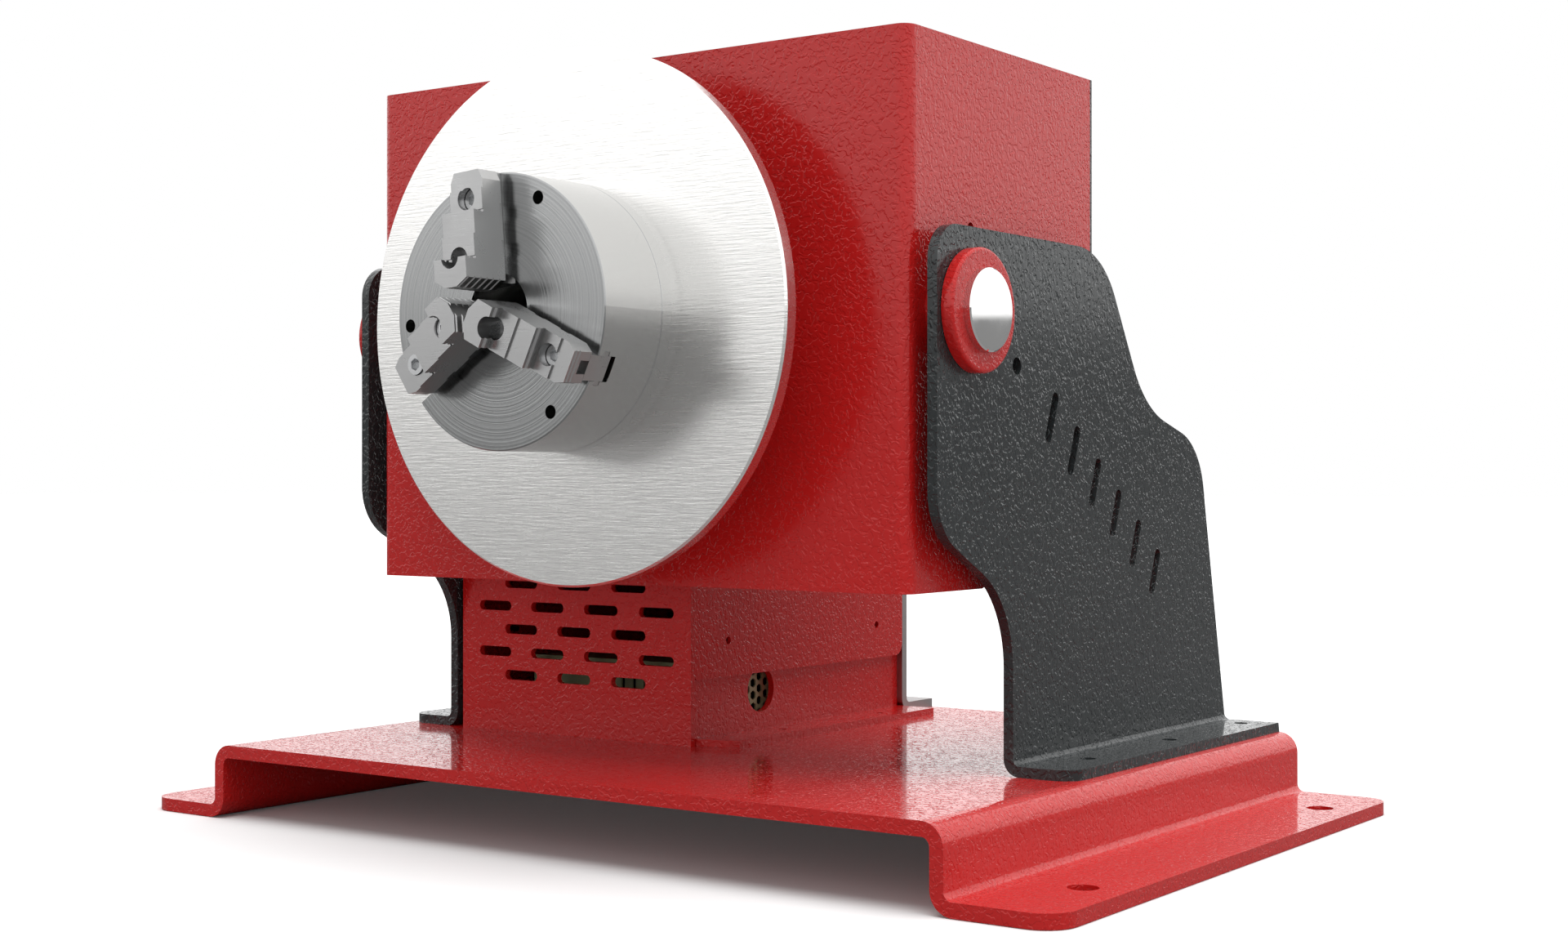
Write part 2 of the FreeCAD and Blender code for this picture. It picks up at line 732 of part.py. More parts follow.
# ------------------------------------------------------------------ tilting housing
def section_face(grow, x0, x1):
    """Prism of the side view, moved inward by grow on the belly and back."""
    r = belly_r - grow
    bottom = housing_bottom + grow
    rear = housing_back - grow
    y_flat = trunnion_y + math.sqrt(r ** 2 - (axis_z - bottom) ** 2)
    a0 = math.atan2(bottom - axis_z, y_flat - trunnion_y)
    mid = V(x0, trunnion_y + r * math.cos(a0 / 2), axis_z + r * math.sin(a0 / 2))
    start, end = V(x0, y_flat, bottom), V(x0, trunnion_y + r, axis_z)
    y0 = housing_front - 1
    corners = [end, V(x0, rear, axis_z + belly_rise), V(x0, rear, housing_top + 1), V(x0, y0, housing_top + 1),
               V(x0, y0, bottom), start]
    edges = [Part.Arc(start, mid, end).toShape()]
    edges += [Part.makeLine(a, b) for a, b in zip(corners, corners[1:])]
    return Part.Face(Part.Wire(edges)).extrude(X * (x1 - x0))


def housing_wrap():
    """Front and both sides from one sheet, open at the top, belly and back."""
    w = housing_wall
    outer = [(-housing_half, housing_front, housing_corner), (housing_half, housing_front, housing_corner),
             (housing_half, housing_back - back_t), (-housing_half, housing_back - back_t)]
    inner = [(-housing_half + w, housing_front + w, housing_corner - w),
             (housing_half - w, housing_front + w, housing_corner - w),
             (housing_half - w, housing_back + 1), (-housing_half + w, housing_back + 1)]
    shell = plan(outer, housing_bottom, housing_top).cut(plan(inner, housing_bottom - 1, housing_top + 1))
    shell = shell.common(section_face(0, -housing_half - 1, housing_half + 1))
    rim = [box(sx * (housing_half - w) - (12 if sx > 0 else 0), sx * (housing_half - w) + (0 if sx > 0 else 12),
               housing_back - back_t - w, housing_back - back_t, axis_z + belly_rise + 6, housing_top - 3)
           for sx in (-1, 1)]
    shell = fuse([shell] + rim)
    holes = [rod(V(0, housing_front - 1, axis_z), Y, cartridge_r + fit, w + 2),
             rod(V(-housing_half - 1, trunnion_y, axis_z), X, pin_shank_r + fit, 2 * housing_half + 2)]
    for sx in (-1, 1):
        for angle in index_angles:
            at = index_point(angle, sx * (housing_half + 1))
            holes.append(place(rod(V(0, 0, 0), Z, index_hole_r, w + 2), at, X * -sx))
    holes += [rod(at - Y * 6, Y, 1.6 + fit, 8) for at in back_screw_places()]
    holes += [rod(polar_front(cap_screw_pcr, a, housing_front - 1), Y, 2.5 + fit, w + 2)
              for a in cap_screw_angles]
    return cut(shell, holes)


def polar_front(r, degrees, y):
    a = math.radians(degrees)
    return V(r * math.cos(a), y, axis_z + r * math.sin(a))


def back_screw_places():
    x = housing_half - housing_wall - 6
    z0, z1 = axis_z + belly_rise + 14, housing_top - 12
    return [V(sx * x, housing_back, z0 + (z1 - z0) * k / 2) for sx in (-1, 1) for k in range(3)]


def housing_lid():
    x = housing_half - housing_wall
    lid = plan([(-x, housing_front + housing_wall, housing_corner - housing_wall),
                (x, housing_front + housing_wall, housing_corner - housing_wall),
                (x, housing_back - back_t), (-x, housing_back - back_t)],
               housing_top - housing_wall, housing_top)
    return cut(lid, [rod(at - Z * 8, Z, 2.5 + fit, 10) for at in motor_screw_places()])


def housing_belly():
    x = housing_half - housing_wall
    y0 = housing_front + housing_wall
    band = section_face(0, -x, x).cut(section_face(belly_t, -x - 1, x + 1))
    inside = [(-x, y0, housing_corner - housing_wall), (x, y0, housing_corner - housing_wall),
              (x, housing_back - back_t), (-x, housing_back - back_t)]
    return band.common(plan(inside, housing_bottom - 1, axis_z + belly_rise))


def housing_back_cover():
    low = axis_z + belly_rise
    cover = box(-housing_half, housing_half, housing_back - back_t, housing_back, low, housing_top)
    return cut(cover, [rod(at - Y * 6, Y, 1.6 + fit, 8) for at in back_screw_places()])


def housing_screws():
    """Back cover screws, bearing flange screws and motor plate screws."""
    placed = [place(pan_screw(1.6, 5.4, 3.2, 2.0), at, Y) for at in back_screw_places()]
    flange_face = housing_front - cartridge_flange_t
    placed += [place(cap_screw(2.5, cartridge_flange_t + housing_wall + 1, 4.2, 3.0, 3.0),
                     polar_front(cap_screw_pcr, a, flange_face), Y * -1) for a in cap_screw_angles]
    placed += [place(pan_screw(2.5, housing_wall + 4, 4.6, 2.6), at) for at in motor_screw_places()]
    return Part.makeCompound(placed)


# ------------------------------------------------------------------ trunnions
def trunnion_boss():
    """Turned boss: neck off the housing, journal in the bracket hole, rounded rim outside."""
    middle = lambda x: V(x, trunnion_y, axis_z)
    outer = bracket_out + boss_proud
    rim = rod(middle(bracket_out + boss_clear), X, boss_r, boss_proud - boss_clear)
    end = [e for e in rim.Edges if e.Closed and abs(e.CenterOfMass.x - outer) < 0.01]
    rim = rim.makeFillet(boss_round, end)
    journal = rod(middle(bracket_in), X, journal_r, bracket_t + boss_clear)
    neck = rod(middle(housing_half), X, neck_r, bracket_gap)
    seat = bracket_out - pin_shoulder
    bores = [rod(middle(seat), X, pin_r + 0.02, boss_proud + pin_shoulder + 1),
             rod(middle(housing_half - 1), X, pin_shank_r + 0.02, seat - housing_half + 2)]
    return cut(fuse([neck, journal, rim]), bores)


def trunnion_pin():
    """Headed pin: head let into the boss, shank into the housing, collar inside the wall."""
    middle = lambda x: V(x, trunnion_y, axis_z)
    seat = bracket_out - pin_shoulder
    outer = bracket_out + boss_proud + pin_proud
    head = rod(middle(seat), X, pin_r, outer - seat)
    end = [e for e in head.Edges if e.Closed and abs(e.CenterOfMass.x - outer) < 0.01]
    head = head.makeChamfer(0.6, end)
    inside = housing_half - housing_wall - pin_collar_t
    shank = rod(middle(inside), X, pin_shank_r, seat - inside)
    return fuse([head, shank, rod(middle(inside), X, pin_collar_r, pin_collar_t)])


# ------------------------------------------------------------------ spindle and bearings
def bearing_housing():
    """Cartridge with a front flange, bored for two roller bearings."""
    y0 = housing_front - cartridge_flange_t
    y1 = housing_front + cartridge_depth
    body = fuse([rod(V(0, y0, axis_z), Y, cartridge_flange_r, cartridge_flange_t),
                 rod(V(0, y0, axis_z), Y, cartridge_r, y1 - y0)])
    bores = [rod(V(0, y0 - 1, axis_z), Y, seat_r + 5.0, y1 - y0 + 2),
             rod(V(0, bearing_front, axis_z), Y, race_r + 0.01, bearing_w),
             rod(V(0, bearing_front, axis_z), Y, race_r - 4, bearing_rear - bearing_front),
             rod(V(0, bearing_rear, axis_z), Y, race_r + 0.01, y1 - bearing_rear + 1)]
    holes = [rod(polar_front(cap_screw_pcr, a, y0 - 1), Y, 2.5 + fit, cartridge_flange_t + 2)
             for a in cap_screw_angles]
    return cut(body, bores + holes)


def bearing_outer_rings():
    rings = []
    for y in (bearing_front, bearing_rear):
        ring = tube(V(0, y, axis_z), Y, race_r, race_r - 3.4, bearing_w)
        lips = [tube(V(0, y + dy, axis_z), Y, race_r - 3.4, race_r - 5.0, 2.0) for dy in (0, bearing_w - 2.0)]
        rings.append(fuse([ring] + lips))
    return Part.makeCompound(rings)


def bearing_rollers():
    centre_r = (race_r - 3.4 + seat_r + 3.6) / 2
    rollers = []
    for y in (bearing_front, bearing_rear):
        roller = rod(V(centre_r, y + 2.3, axis_z), Y, roller_r, bearing_w - 4.6)
        rollers += ring_of(roller, roller_count, V(0, y, axis_z), Y)
    return Part.makeCompound(rollers)


def bearing_inner_rings():
    return Part.makeCompound([tube(V(0, y, axis_z), Y, seat_r + 3.6, seat_r + 0.01, bearing_w)
                              for y in (bearing_front, bearing_rear)])


def bearing_spacer():
    y = bearing_front + bearing_w
    return tube(V(0, y, axis_z), Y, seat_r + 3.0, seat_r + 0.02, bearing_rear - y)


def spindle_shaft():
    """Hollow spindle: faceplate flange, shoulder against the front bearing, long bearing seat."""
    flange_y = face_y - plate_back
    end_y = nut_y + 9.0
    shaft = fuse([rod(V(0, flange_y, axis_z), Y, spindle_flange_r, spindle_flange_t),
                  rod(V(0, flange_y, axis_z), Y, seat_r + 3.8, bearing_front - flange_y),
                  rod(V(0, flange_y, axis_z), Y, seat_r, end_y - flange_y)])
    holes = [rod(V(0, flange_y - 1, axis_z), Y, spindle_bore_r, end_y - flange_y + 2)]
    holes += [rod(polar_front(flange_bolt_pcr, a, flange_y - 1), Y, 3.0 + fit, spindle_flange_t + 2)
              for a in flange_bolt_angles]
    return cut(shaft, holes)


def gear_outline(teeth, backlash=gear_backlash):
    """Involute spur gear corners, three per flank, pressure angle 20 degrees."""
    pitch_r = gear_module * teeth / 2.0
    pressure = math.radians(20)
    base_r = pitch_r * math.cos(pressure)
    root_r = pitch_r - 1.25 * gear_module
    tip_r = pitch_r + gear_module
    inv = lambda a: math.tan(a) - a
    half_pitch_angle = (math.pi * gear_module / 2 - backlash) / (2 * pitch_r)

    def half_angle(r):
        return half_pitch_angle + inv(pressure) - inv(math.acos(min(1.0, base_r / r)))

    start_r = max(base_r, root_r)
    flank = [(r, half_angle(r)) for r in (start_r, (start_r + tip_r) / 2, tip_r)]
    if root_r < start_r:
        flank.insert(0, (root_r, half_angle(start_r)))
    corners = []
    for k in range(teeth):
        middle = 2 * math.pi * k / teeth
        corners += [(r, middle - a) for r, a in flank]
        corners += [(r, middle + a) for r, a in reversed(flank)]
    return [(r * math.cos(a), r * math.sin(a)) for r, a in corners]


def spur_gear(teeth, width, spin):
    gear = plan(gear_outline(teeth), 0, width)
    gear.rotate(V(0, 0, 0), Z, spin)
    return gear


def spindle_gear():
    """Drive gear: rim, web with lightening holes and a hub against the rear bearing."""
    rear_race = bearing_rear + bearing_w
    blank = spur_gear(gear_teeth, gear_w, motor_angle)
    blank.rotate(V(0, 0, 0), X, -90)
    blank = blank.mirror(V(0, 0, 0), Z)
    blank.translate(V(0, gear_y, axis_z))
    hub = rod(V(0, rear_race, axis_z), Y, seat_r + 4.0, gear_y - rear_race)
    holes = [rod(V(0, rear_race - 1, axis_z), Y, seat_r + 0.02, gear_w + 40)]
    holes += [rod(polar_front(37, a, gear_y - 1), Y, 5, gear_w + 2) for a in range(0, 360, 60)]
    return cut(fuse([blank, hub]), holes)


def motor_pinion():
    """Pinion on the gearbox shaft, one tooth space facing the drive gear."""
    spin = motor_angle + 180 + 180.0 / pinion_teeth
    blank = spur_gear(pinion_teeth, gear_w, spin)
    blank.rotate(V(0, 0, 0), X, -90)
    blank = blank.mirror(V(0, 0, 0), Z)
    blank.translate(V(motor_x, gear_y, motor_z))
    hub = rod(V(motor_x, gear_y + gear_w, motor_z), Y, 10, 6)
    return cut(fuse([blank, hub]), [rod(V(motor_x, gear_y - 1, motor_z), Y, 5.05, gear_w + 8)])


def spindle_nut():
    """Slotted ring nut that clamps the gear and the inner rings."""
    ring = tube(V(0, nut_y, axis_z), Y, seat_r + 9, seat_r + 0.02, 8.0)
    slots = [box(-2.5, 2.5, nut_y - 1, nut_y + 9, axis_z + seat_r + 6, axis_z + seat_r + 12)]
    return cut(ring, ring_of(slots[0], 4, V(0, nut_y, axis_z), Y))


def motor_screw_places():
    return [V(motor_x + dx, motor_plate_y + dy, housing_top) for dx in (-32, 32) for dy in (14, 32)]


def motor_plate():
    """Bent plate hung from the housing top, carrying the gearmotor."""
    t, half = motor_plate_t, motor_plate_half
    top = housing_top - housing_wall
    low = motor_z - gearbox_r - 10
    ell = [(motor_plate_y, low), (motor_plate_y + t, low), (motor_plate_y + t, top - t, 3),
           (motor_plate_y + half, top - t), (motor_plate_y + half, top), (motor_plate_y, top, 3 + t)]
    plate = side(ell, motor_x - half, motor_x + half)
    holes = [rod(V(motor_x, motor_plate_y - 1, motor_z), Y, motor_pilot_r + fit, t + 2)]
    holes += [rod(at - Z * 12, Z, 2.5 + fit, 14) for at in motor_screw_places()]
    return cut(plate, holes)


def drive_motor():
    """Gearbox with its pilot and output shaft, motor can and end bell."""
    y0 = motor_plate_y + motor_plate_t
    can_y = y0 + gearbox_len
    bell_y = housing_back - back_t - motor_back_gap - bell_t
    c = lambda y: V(motor_x, y, motor_z)
    gearbox = rod(c(y0), Y, gearbox_r, gearbox_len)
    pilot = rod(c(motor_plate_y - 2), Y, motor_pilot_r, motor_plate_t + 3)
    can = rod(c(can_y), Y, motor_r, bell_y - can_y)
    bell = rod(c(bell_y), Y, motor_r - 4, bell_t)
    shaft = rod(c(gear_y - 0.5), Y, 5.0, motor_plate_y - gear_y)
    return fuse([gearbox, pilot, can, bell, shaft])


# ------------------------------------------------------------------ faceplate and chuck
def faceplate():
    plate = rod(V(0, 0, plate_back), Z, plate_r, plate_t)
    rims = [e for e in plate.Edges if e.Closed]
    plate = plate.makeChamfer(1.0, rims)
    holes = [rod(V(0, 0, plate_back - 1), Z, spindle_bore_r + 0.5, plate_t + 2)]
    holes += [rod(polar(chuck_bolt_pcr, chuck_bolt_angle + 120 * k, plate_back - 1), Z, chuck_bolt_r + fit,
                  plate_t + 2) for k in range(3)]
    holes += [rod(polar(chuck_bolt_pcr, chuck_bolt_angle + 120 * k, plate_back - 1), Z, 5.2, 5.0)
              for k in range(3)]
    holes += [rod(polar(flange_bolt_pcr, a, plate_back - 1), Z, 3.0 + fit, plate_t - 1.0)
              for a in flange_bolt_angles]
    return on_spindle(cut(plate, holes))


def faceplate_bolts():
    screw = cap_screw(3.0, spindle_flange_t + plate_t - 3.0, 5.0, 5.0, 5.0)
    back = plate_back - spindle_flange_t
    placed = [place(screw, polar(flange_bolt_pcr, a, back), Z * -1) for a in flange_bolt_angles]
    return on_spindle(Part.makeCompound(placed))


def chuck_adapter():
    """Back plate of the chuck with the spigot that holds the scroll in its pocket."""
    low = -(chuck_len + adapter_t)
    plate = tube(V(0, 0, low), Z, chuck_r, bore_r, adapter_t)
    joint = [e for e in plate.Edges if e.Closed and e.Curve.Radius == chuck_r and e.CenterOfMass.z > low + 1]
    plate = plate.makeChamfer(joint_bevel, joint)
    spigot_top = crown_base_z() - crown_h - 0.5
    spigot = tube(V(0, 0, -chuck_len), Z, pocket_r - 0.1, hub_r + 0.1, spigot_top + chuck_len)
    holes = [rod(polar(chuck_bolt_pcr, chuck_bolt_angle + 120 * k, low - 1), Z, chuck_bolt_r + fit,
                 adapter_t + 2) for k in range(3)]
    holes.append(place(rod(V(0, 0, 0), Z, key_r + 0.3, 30), polar(crown_r[0] - 3, key_angle, key_axis_z()),
                       polar(1, key_angle)))
    return on_spindle(cut(fuse([plate, spigot]), holes))


def crown_base_z():
    return scroll_top - ridge_h - scroll_t


def key_pitch_r():
    mean = (crown_r[0] + crown_r[1]) / 2
    return mean * key_teeth / crown_teeth


def key_axis_z():
    return crown_base_z() - crown_h / 2 - key_pitch_r()


def jaw_prism(half, z0, z1, r0=0.0, r1=chuck_r + 5):
    return box(r0, r1, -half, half, z0, z1)


def chuck_body():
    body = rod(V(0, 0, -chuck_len), Z, chuck_r, chuck_len)
    rim = [e for e in body.Edges if e.Closed and abs(e.CenterOfMass.z) < 0.01]
    body = body.makeChamfer(0.5, rim)
    joint = [e for e in body.Edges if e.Closed and abs(e.CenterOfMass.z + chuck_len) < 0.01]
    body = body.makeChamfer(joint_bevel, joint)
    pocket = tube(V(0, 0, -chuck_len - 1), Z, pocket_r, hub_r, chuck_len + 1 - pocket_top)
    tools = [rod(V(0, 0, -chuck_len - 1), Z, bore_r, chuck_len + 2), pocket]
    f = slot_fit
    for angle in jaw_angles:
        slot = fuse([jaw_prism(neck_half + f, -slot_depth, 1),
                     jaw_prism(guide_half + f, -guide_low - f, -guide_top + f)])
        tools.append(turned(slot, V(0, 0, 0), Z, angle))
    for k in range(3):
        at = polar(chuck_bolt_pcr, chuck_bolt_angle + 120 * k, -chuck_len - 1)
        tools.append(rod(at, Z, chuck_bolt_r + fit, chuck_len + 2))
    tools.append(place(rod(V(0, 0, 0), Z, key_r + fit, 40), polar(pocket_r - 6, key_angle, key_axis_z()),
                       polar(1, key_angle)))
    return on_spindle(cut(body, tools))


def chuck_bolts():
    screw = cap_screw(chuck_bolt_r, plate_t - 4.0 + adapter_t + chuck_len - 16, 5.0, 3.6, 4.0)
    return on_spindle(Part.makeCompound([place(screw, polar(chuck_bolt_pcr, chuck_bolt_angle + 120 * k,
                                                            plate_back + 4.0), Z * -1) for k in range(3)]))


def spiral_band(r_in, r_out, width, turn_from):
    """Face of one Archimedean ridge that grows by a pitch each turn, between two radii."""
    turns = (r_out - r_in - width) / scroll_pitch
    steps = int(turns * 24)

    def edge(offset):
        points = []
        for k in range(steps + 1):
            a = turn_from + 360.0 * turns * k / steps
            points.append(polar(r_in + offset + scroll_pitch * turns * k / steps, a))
        curve = Part.BSplineCurve()
        curve.interpolate(points)
        return curve.toShape(), points

    inner, inner_points = edge(0)
    outer, outer_points = edge(width)
    ends = [Part.makeLine(inner_points[-1], outer_points[-1]), Part.makeLine(outer_points[0], inner_points[0])]
    return Part.Face(Part.Wire(Part.sortEdges([inner, ends[0], outer, ends[1]])[0]))


def scroll_plate():
    """Scroll: plate with a spiral ridge on its front and crown teeth on its back."""
    z_plate = scroll_top - ridge_h
    ridge = spiral_band(scroll_r0 + 0.7, scroll_r1, ridge_w, 0.0)
    ridge.translate(V(0, 0, z_plate - 0.5))
    ridge = ridge.extrude(Z * (ridge_h + 0.5))
    plate = tube(V(0, 0, z_plate - scroll_t), Z, scroll_r1 + 0.3, scroll_r0, scroll_t)
    teeth = []
    half = 0.40 * math.pi / crown_teeth
    for k in range(crown_teeth):
        a = math.radians(key_angle) + 2 * math.pi * (k + 0.5) / crown_teeth
        corners = [(r * math.cos(a + s * half), r * math.sin(a + s * half))
                   for r, s in ((crown_r[0], -1), (crown_r[1], -1), (crown_r[1], 1), (crown_r[0], 1))]
        teeth.append(plan(corners, z_plate - scroll_t - crown_h, z_plate - scroll_t + 0.2))
    return on_spindle(fuse([plate, ridge] + teeth))


def chuck_pinion():
    """Key pinion: crown teeth, journal in the body wall and a square key socket."""
    z = key_pitch_r()
    tip, root = z + 0.75, z - 1.2
    half = 0.40 * math.pi / key_teeth
    inner = (crown_r[0] + crown_r[1]) / 2 - 2.5
    length = 5.0
    corners = []
    for k in range(key_teeth):
        a = 2 * math.pi * k / key_teeth
        corners += [(root, a - half * 1.15), (tip, a - half * 0.7)]
        corners += [(tip, a + half * 0.7), (root, a + half * 1.15)]
    teeth = plan([(r * math.cos(a), r * math.sin(a)) for r, a in corners], 0, length)
    shoulder = pocket_r + 0.4 - inner
    journal = rod(V(0, 0, shoulder), Z, key_r, chuck_r - 0.8 - inner - shoulder)
    neck = rod(V(0, 0, 0), Z, root - 0.2, chuck_r - inner - 4)
    socket = box(-key_square, key_square, -key_square, key_square, chuck_r - inner - 13, chuck_r)
    pinion = fuse([teeth, neck, journal]).cut(socket)
    pinion.rotate(V(0, 0, 0), Z, 90)
    return on_spindle(place_radial(pinion, polar(inner, key_angle, key_axis_z()), key_angle))


def place_radial(shape, at, angle):
    """Lay a shape made on +Z along the radius at an angle, its local X turned to the chuck face."""
    copy = shape.copy()
    copy.rotate(V(0, 0, 0), Y, 90)
    copy.rotate(V(0, 0, 0), Z, angle)
    copy.translate(at)
    return copy


# ------------------------------------------------------------------ jaws
def saw(u, v0, v1, out):
    """Corners of a serrated wall at u from v0 down to v1, teeth pointing by out."""
    count = max(1, int(abs(v0 - v1) / tooth_pitch))
    step = (v1 - v0) / count
    corners = []
    for k in range(count):
        v = v0 + step * k
        corners += [(u, v + step * 0.25), (u - out * tooth, v + step * 0.5), (u, v + step * 0.75)]
    return corners


def top_jaw_profile():
    """Side view of a stepped top jaw: three treads, each with a half step, and relieved roots."""
    (h1, r1), (h2, r2), (h3, r3) = tread_1, tread_2, tread_3
    d = relief
    points = [(jaw_tip, jaw_seat), (jaw_tip, h1)]
    points += [(r1, h1)] + saw(r1, h1 - 0.6, h2 + 1.4, 1)
    points += [(r1, h2 + 1.2), (r1 - d, h2 + 1.2), (r1 - d, h2 - d)]
    points += [(r1 + d, h2 - d), (r1 + d, h2)]
    split_2 = (r1 + r2) / 2
    points += [(split_2, h2), (split_2, h2 - half_step), (r2, h2 - half_step)]
    points += saw(r2, h2 - half_step - 0.4, h3 + 1.4, 1)
    points += [(r2, h3 + 1.2), (r2 - d, h3 + 1.2), (r2 - d, h3 - d)]
    points += [(r2 + d, h3 - d), (r2 + d, h3)]
    split_3 = r2 + (r3 - r2) * 0.55
    points += [(split_3, h3), (split_3, h3 - half_step), (r3, h3 - half_step)]
    points += saw(r3, h3 - half_step - 0.5, h3 - 6.0, 1) + [(r3, jaw_seat)]
    for u in (44.0, 27.5):
        points += [(u + 3, jaw_seat), (u + 3, jaw_seat + 1.1), (u - 3, jaw_seat + 1.1), (u - 3, jaw_seat)]
    return points


def top_jaw():
    w = jaw_half
    lift = lambda u, v: V(u, -w, v)
    block = outline(top_jaw_profile(), lift).extrude(Y * (2 * w))
    tools = []
    # sixty degree flanks either side of a narrow flat at the tip
    flat = 3.4
    run = (w - flat) / math.tan(math.radians(60))
    for s in (-1, 1):
        wedge = [(jaw_tip - 1, s * flat), (jaw_tip, s * flat), (jaw_tip + run, s * w),
                 (jaw_tip + run, s * (w + 1)), (jaw_tip - 1, s * (w + 1))]
        tools.append(plan(wedge, 0, tread_1[0] + 1))
        corner = [(jaw_end - 4.5, s * w), (jaw_end, s * (w - 2.2)), (jaw_end + 2, s * (w - 2.2)),
                  (jaw_end + 2, s * (w + 1)), (jaw_end - 4.5, s * (w + 1))]
        tools.append(plan(corner, 0, tread_1[0] + 1))
    block = cut(block, tools)
    grooves = []
    for k in range(6):
        h = jaw_seat + 3.0 + 4.0 * k
        for s in (-1, 1):
            n = V(-math.sin(math.radians(60)), s * math.cos(math.radians(60)), 0)
            along = V(math.cos(math.radians(60)), s * math.sin(math.radians(60)), 0)
            p = V(jaw_tip, s * flat, h)
            tri = [p + n * 0.3 - along, p + n * 0.3 - along + Z * 1.6, p - n * tooth - along + Z * 0.8]
            face = Part.Face(Part.makePolygon(tri + tri[:1]))
            grooves.append(face.extrude(along * ((w - flat) / math.sin(math.radians(60)) + 2)))
    notch = box(jaw_end - 5, jaw_end + 1, -3.2, 3.2, jaw_seat - 1, jaw_seat + 5.5)
    holes = []
    for u in screw_at:
        holes += [rod(V(u, 0, 0), Z, jaw_screw_r + fit, 40), rod(V(u, 0, counterbore_z), Z, counterbore_r, 40)]
    return cut(block, grooves + [notch] + holes)


def master_jaw(index):
    """Jaw carrier: guide rails in the body slot, raised seat for the top jaw, teeth in the scroll."""
    r0, r1 = jaw_tip + 3.2, chuck_r - 0.6
    seat = jaw_prism(neck_half, -guide_top, jaw_seat, r0, r1)
    rails = jaw_prism(guide_half, -guide_low, -guide_top, r0, r1)
    keel = jaw_prism(neck_half, -keel_low, -guide_low, r0, r1)
    solid = [seat, rails, keel]
    turn = jaw_angles[index] / 360.0
    first = scroll_r0 + 0.7 + ridge_w + (scroll_pitch - ridge_w) / 2 + inner_turns[index] * scroll_pitch
    low = scroll_top - ridge_h + 0.3
    half_tooth = 1.25
    for k in range(4):
        r = first + scroll_pitch * ((turn % 1.0) + k)
        if r + half_tooth > scroll_r1 - 0.5 + inner_turns[index] * scroll_pitch:
            break
        band = tube(V(0, 0, low), Z, r + half_tooth, r - half_tooth, 0.2 - keel_low - low)
        solid.append(band.common(jaw_prism(neck_half - 0.4, low - 1, 0, 5.0)))
    jaw = fuse(solid)
    holes = [rod(V(u, 0, -keel_low + 0.7), Z, jaw_screw_r + fit, 30) for u in screw_at]
    return cut(jaw, holes)


def jaw_set(index):
    """Master jaw, top jaw and screws of one jaw, slid in by whole turns of the scroll."""
    shift = V(-inner_turns[index] * scroll_pitch, 0, 0)
    lifts = screw_lift[index]
    screw = cap_screw(jaw_screw_r, counterbore_z + keel_low - 1.4, head_r, head_h, 5.0)
    screws = [place(screw, V(u, 0, counterbore_z + lift)) for u, lift in zip(screw_at, lifts)]
    pieces = [master_jaw(index), top_jaw(), Part.makeCompound(screws)]
    placed = []
    for piece in pieces:
        piece = piece.copy()
        piece.translate(shift)
        placed.append(on_spindle(turned(piece, V(0, 0, 0), Z, jaw_angles[index])))
    return placed


# ------------------------------------------------------------------ assembly
keep("base_plate", base_plate())
right = bracket_right()
keep("bracket_right", right)
keep("bracket_left", mirror(right))
keep("bracket_bolts", bracket_bolts())
keep("box_chassis", box_chassis())
keep("box_cover", box_cover())
keep("box_cover_screws", cover_screws())
keep("box_screws", box_screws())
keep("rear_panel", rear_panel())
inlet, inlet_screws = mains_inlet()
keep("mains_inlet", inlet)
keep("inlet_screws", inlet_screws)
keep("power_switch", power_switch())
keep("power_rocker", power_rocker())
keep("speed_dial", speed_dial())
keep("speed_knob", speed_knob())
keep("pedal_socket", pedal_socket())
keep("power_supply_case", power_supply_case())
keep("power_supply_terminals", power_supply_terminals())
keep("speed_controller", speed_controller())
keep("housing_wrap", housing_wrap())
keep("housing_lid", housing_lid())
keep("housing_belly", housing_belly())
keep("housing_back_cover", housing_back_cover())
keep("housing_screws", housing_screws())
boss, pin = trunnion_boss(), trunnion_pin()
keep("trunnion_boss_right", boss)
keep("trunnion_boss_left", mirror(boss))
keep("trunnion_pin_right", pin)
keep("trunnion_pin_left", mirror(pin))
keep("bearing_housing", bearing_housing())
keep("bearing_outer_rings", bearing_outer_rings())
keep("bearing_rollers", bearing_rollers())
keep("bearing_inner_rings", bearing_inner_rings())
keep("bearing_spacer", bearing_spacer())
keep("motor_plate", motor_plate())
keep("drive_motor", drive_motor())
keep("motor_pinion", motor_pinion())
keep("spindle_shaft", spindle_shaft())
keep("spindle_gear", spindle_gear())
keep("spindle_nut", spindle_nut())
keep("faceplate", faceplate())
keep("faceplate_bolts", faceplate_bolts())
keep("chuck_adapter", chuck_adapter())
keep("chuck_body", chuck_body())
keep("chuck_bolts", chuck_bolts())
keep("scroll_plate", scroll_plate())
keep("chuck_pinion", chuck_pinion())
for number in range(jaw_count):
    master, top, screws = jaw_set(number)
    keep("master_jaw_%d" % (number + 1), master)
    keep("top_jaw_%d" % (number + 1), top)
    keep("jaw_screws_%d" % (number + 1), screws)

os.makedirs("parts", exist_ok=True)
for node, shape in parts.items():
    shape.exportStep("parts/%s.step" % node)
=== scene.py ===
import json
import math

import bpy
import bmesh
from mathutils import Matrix, Vector


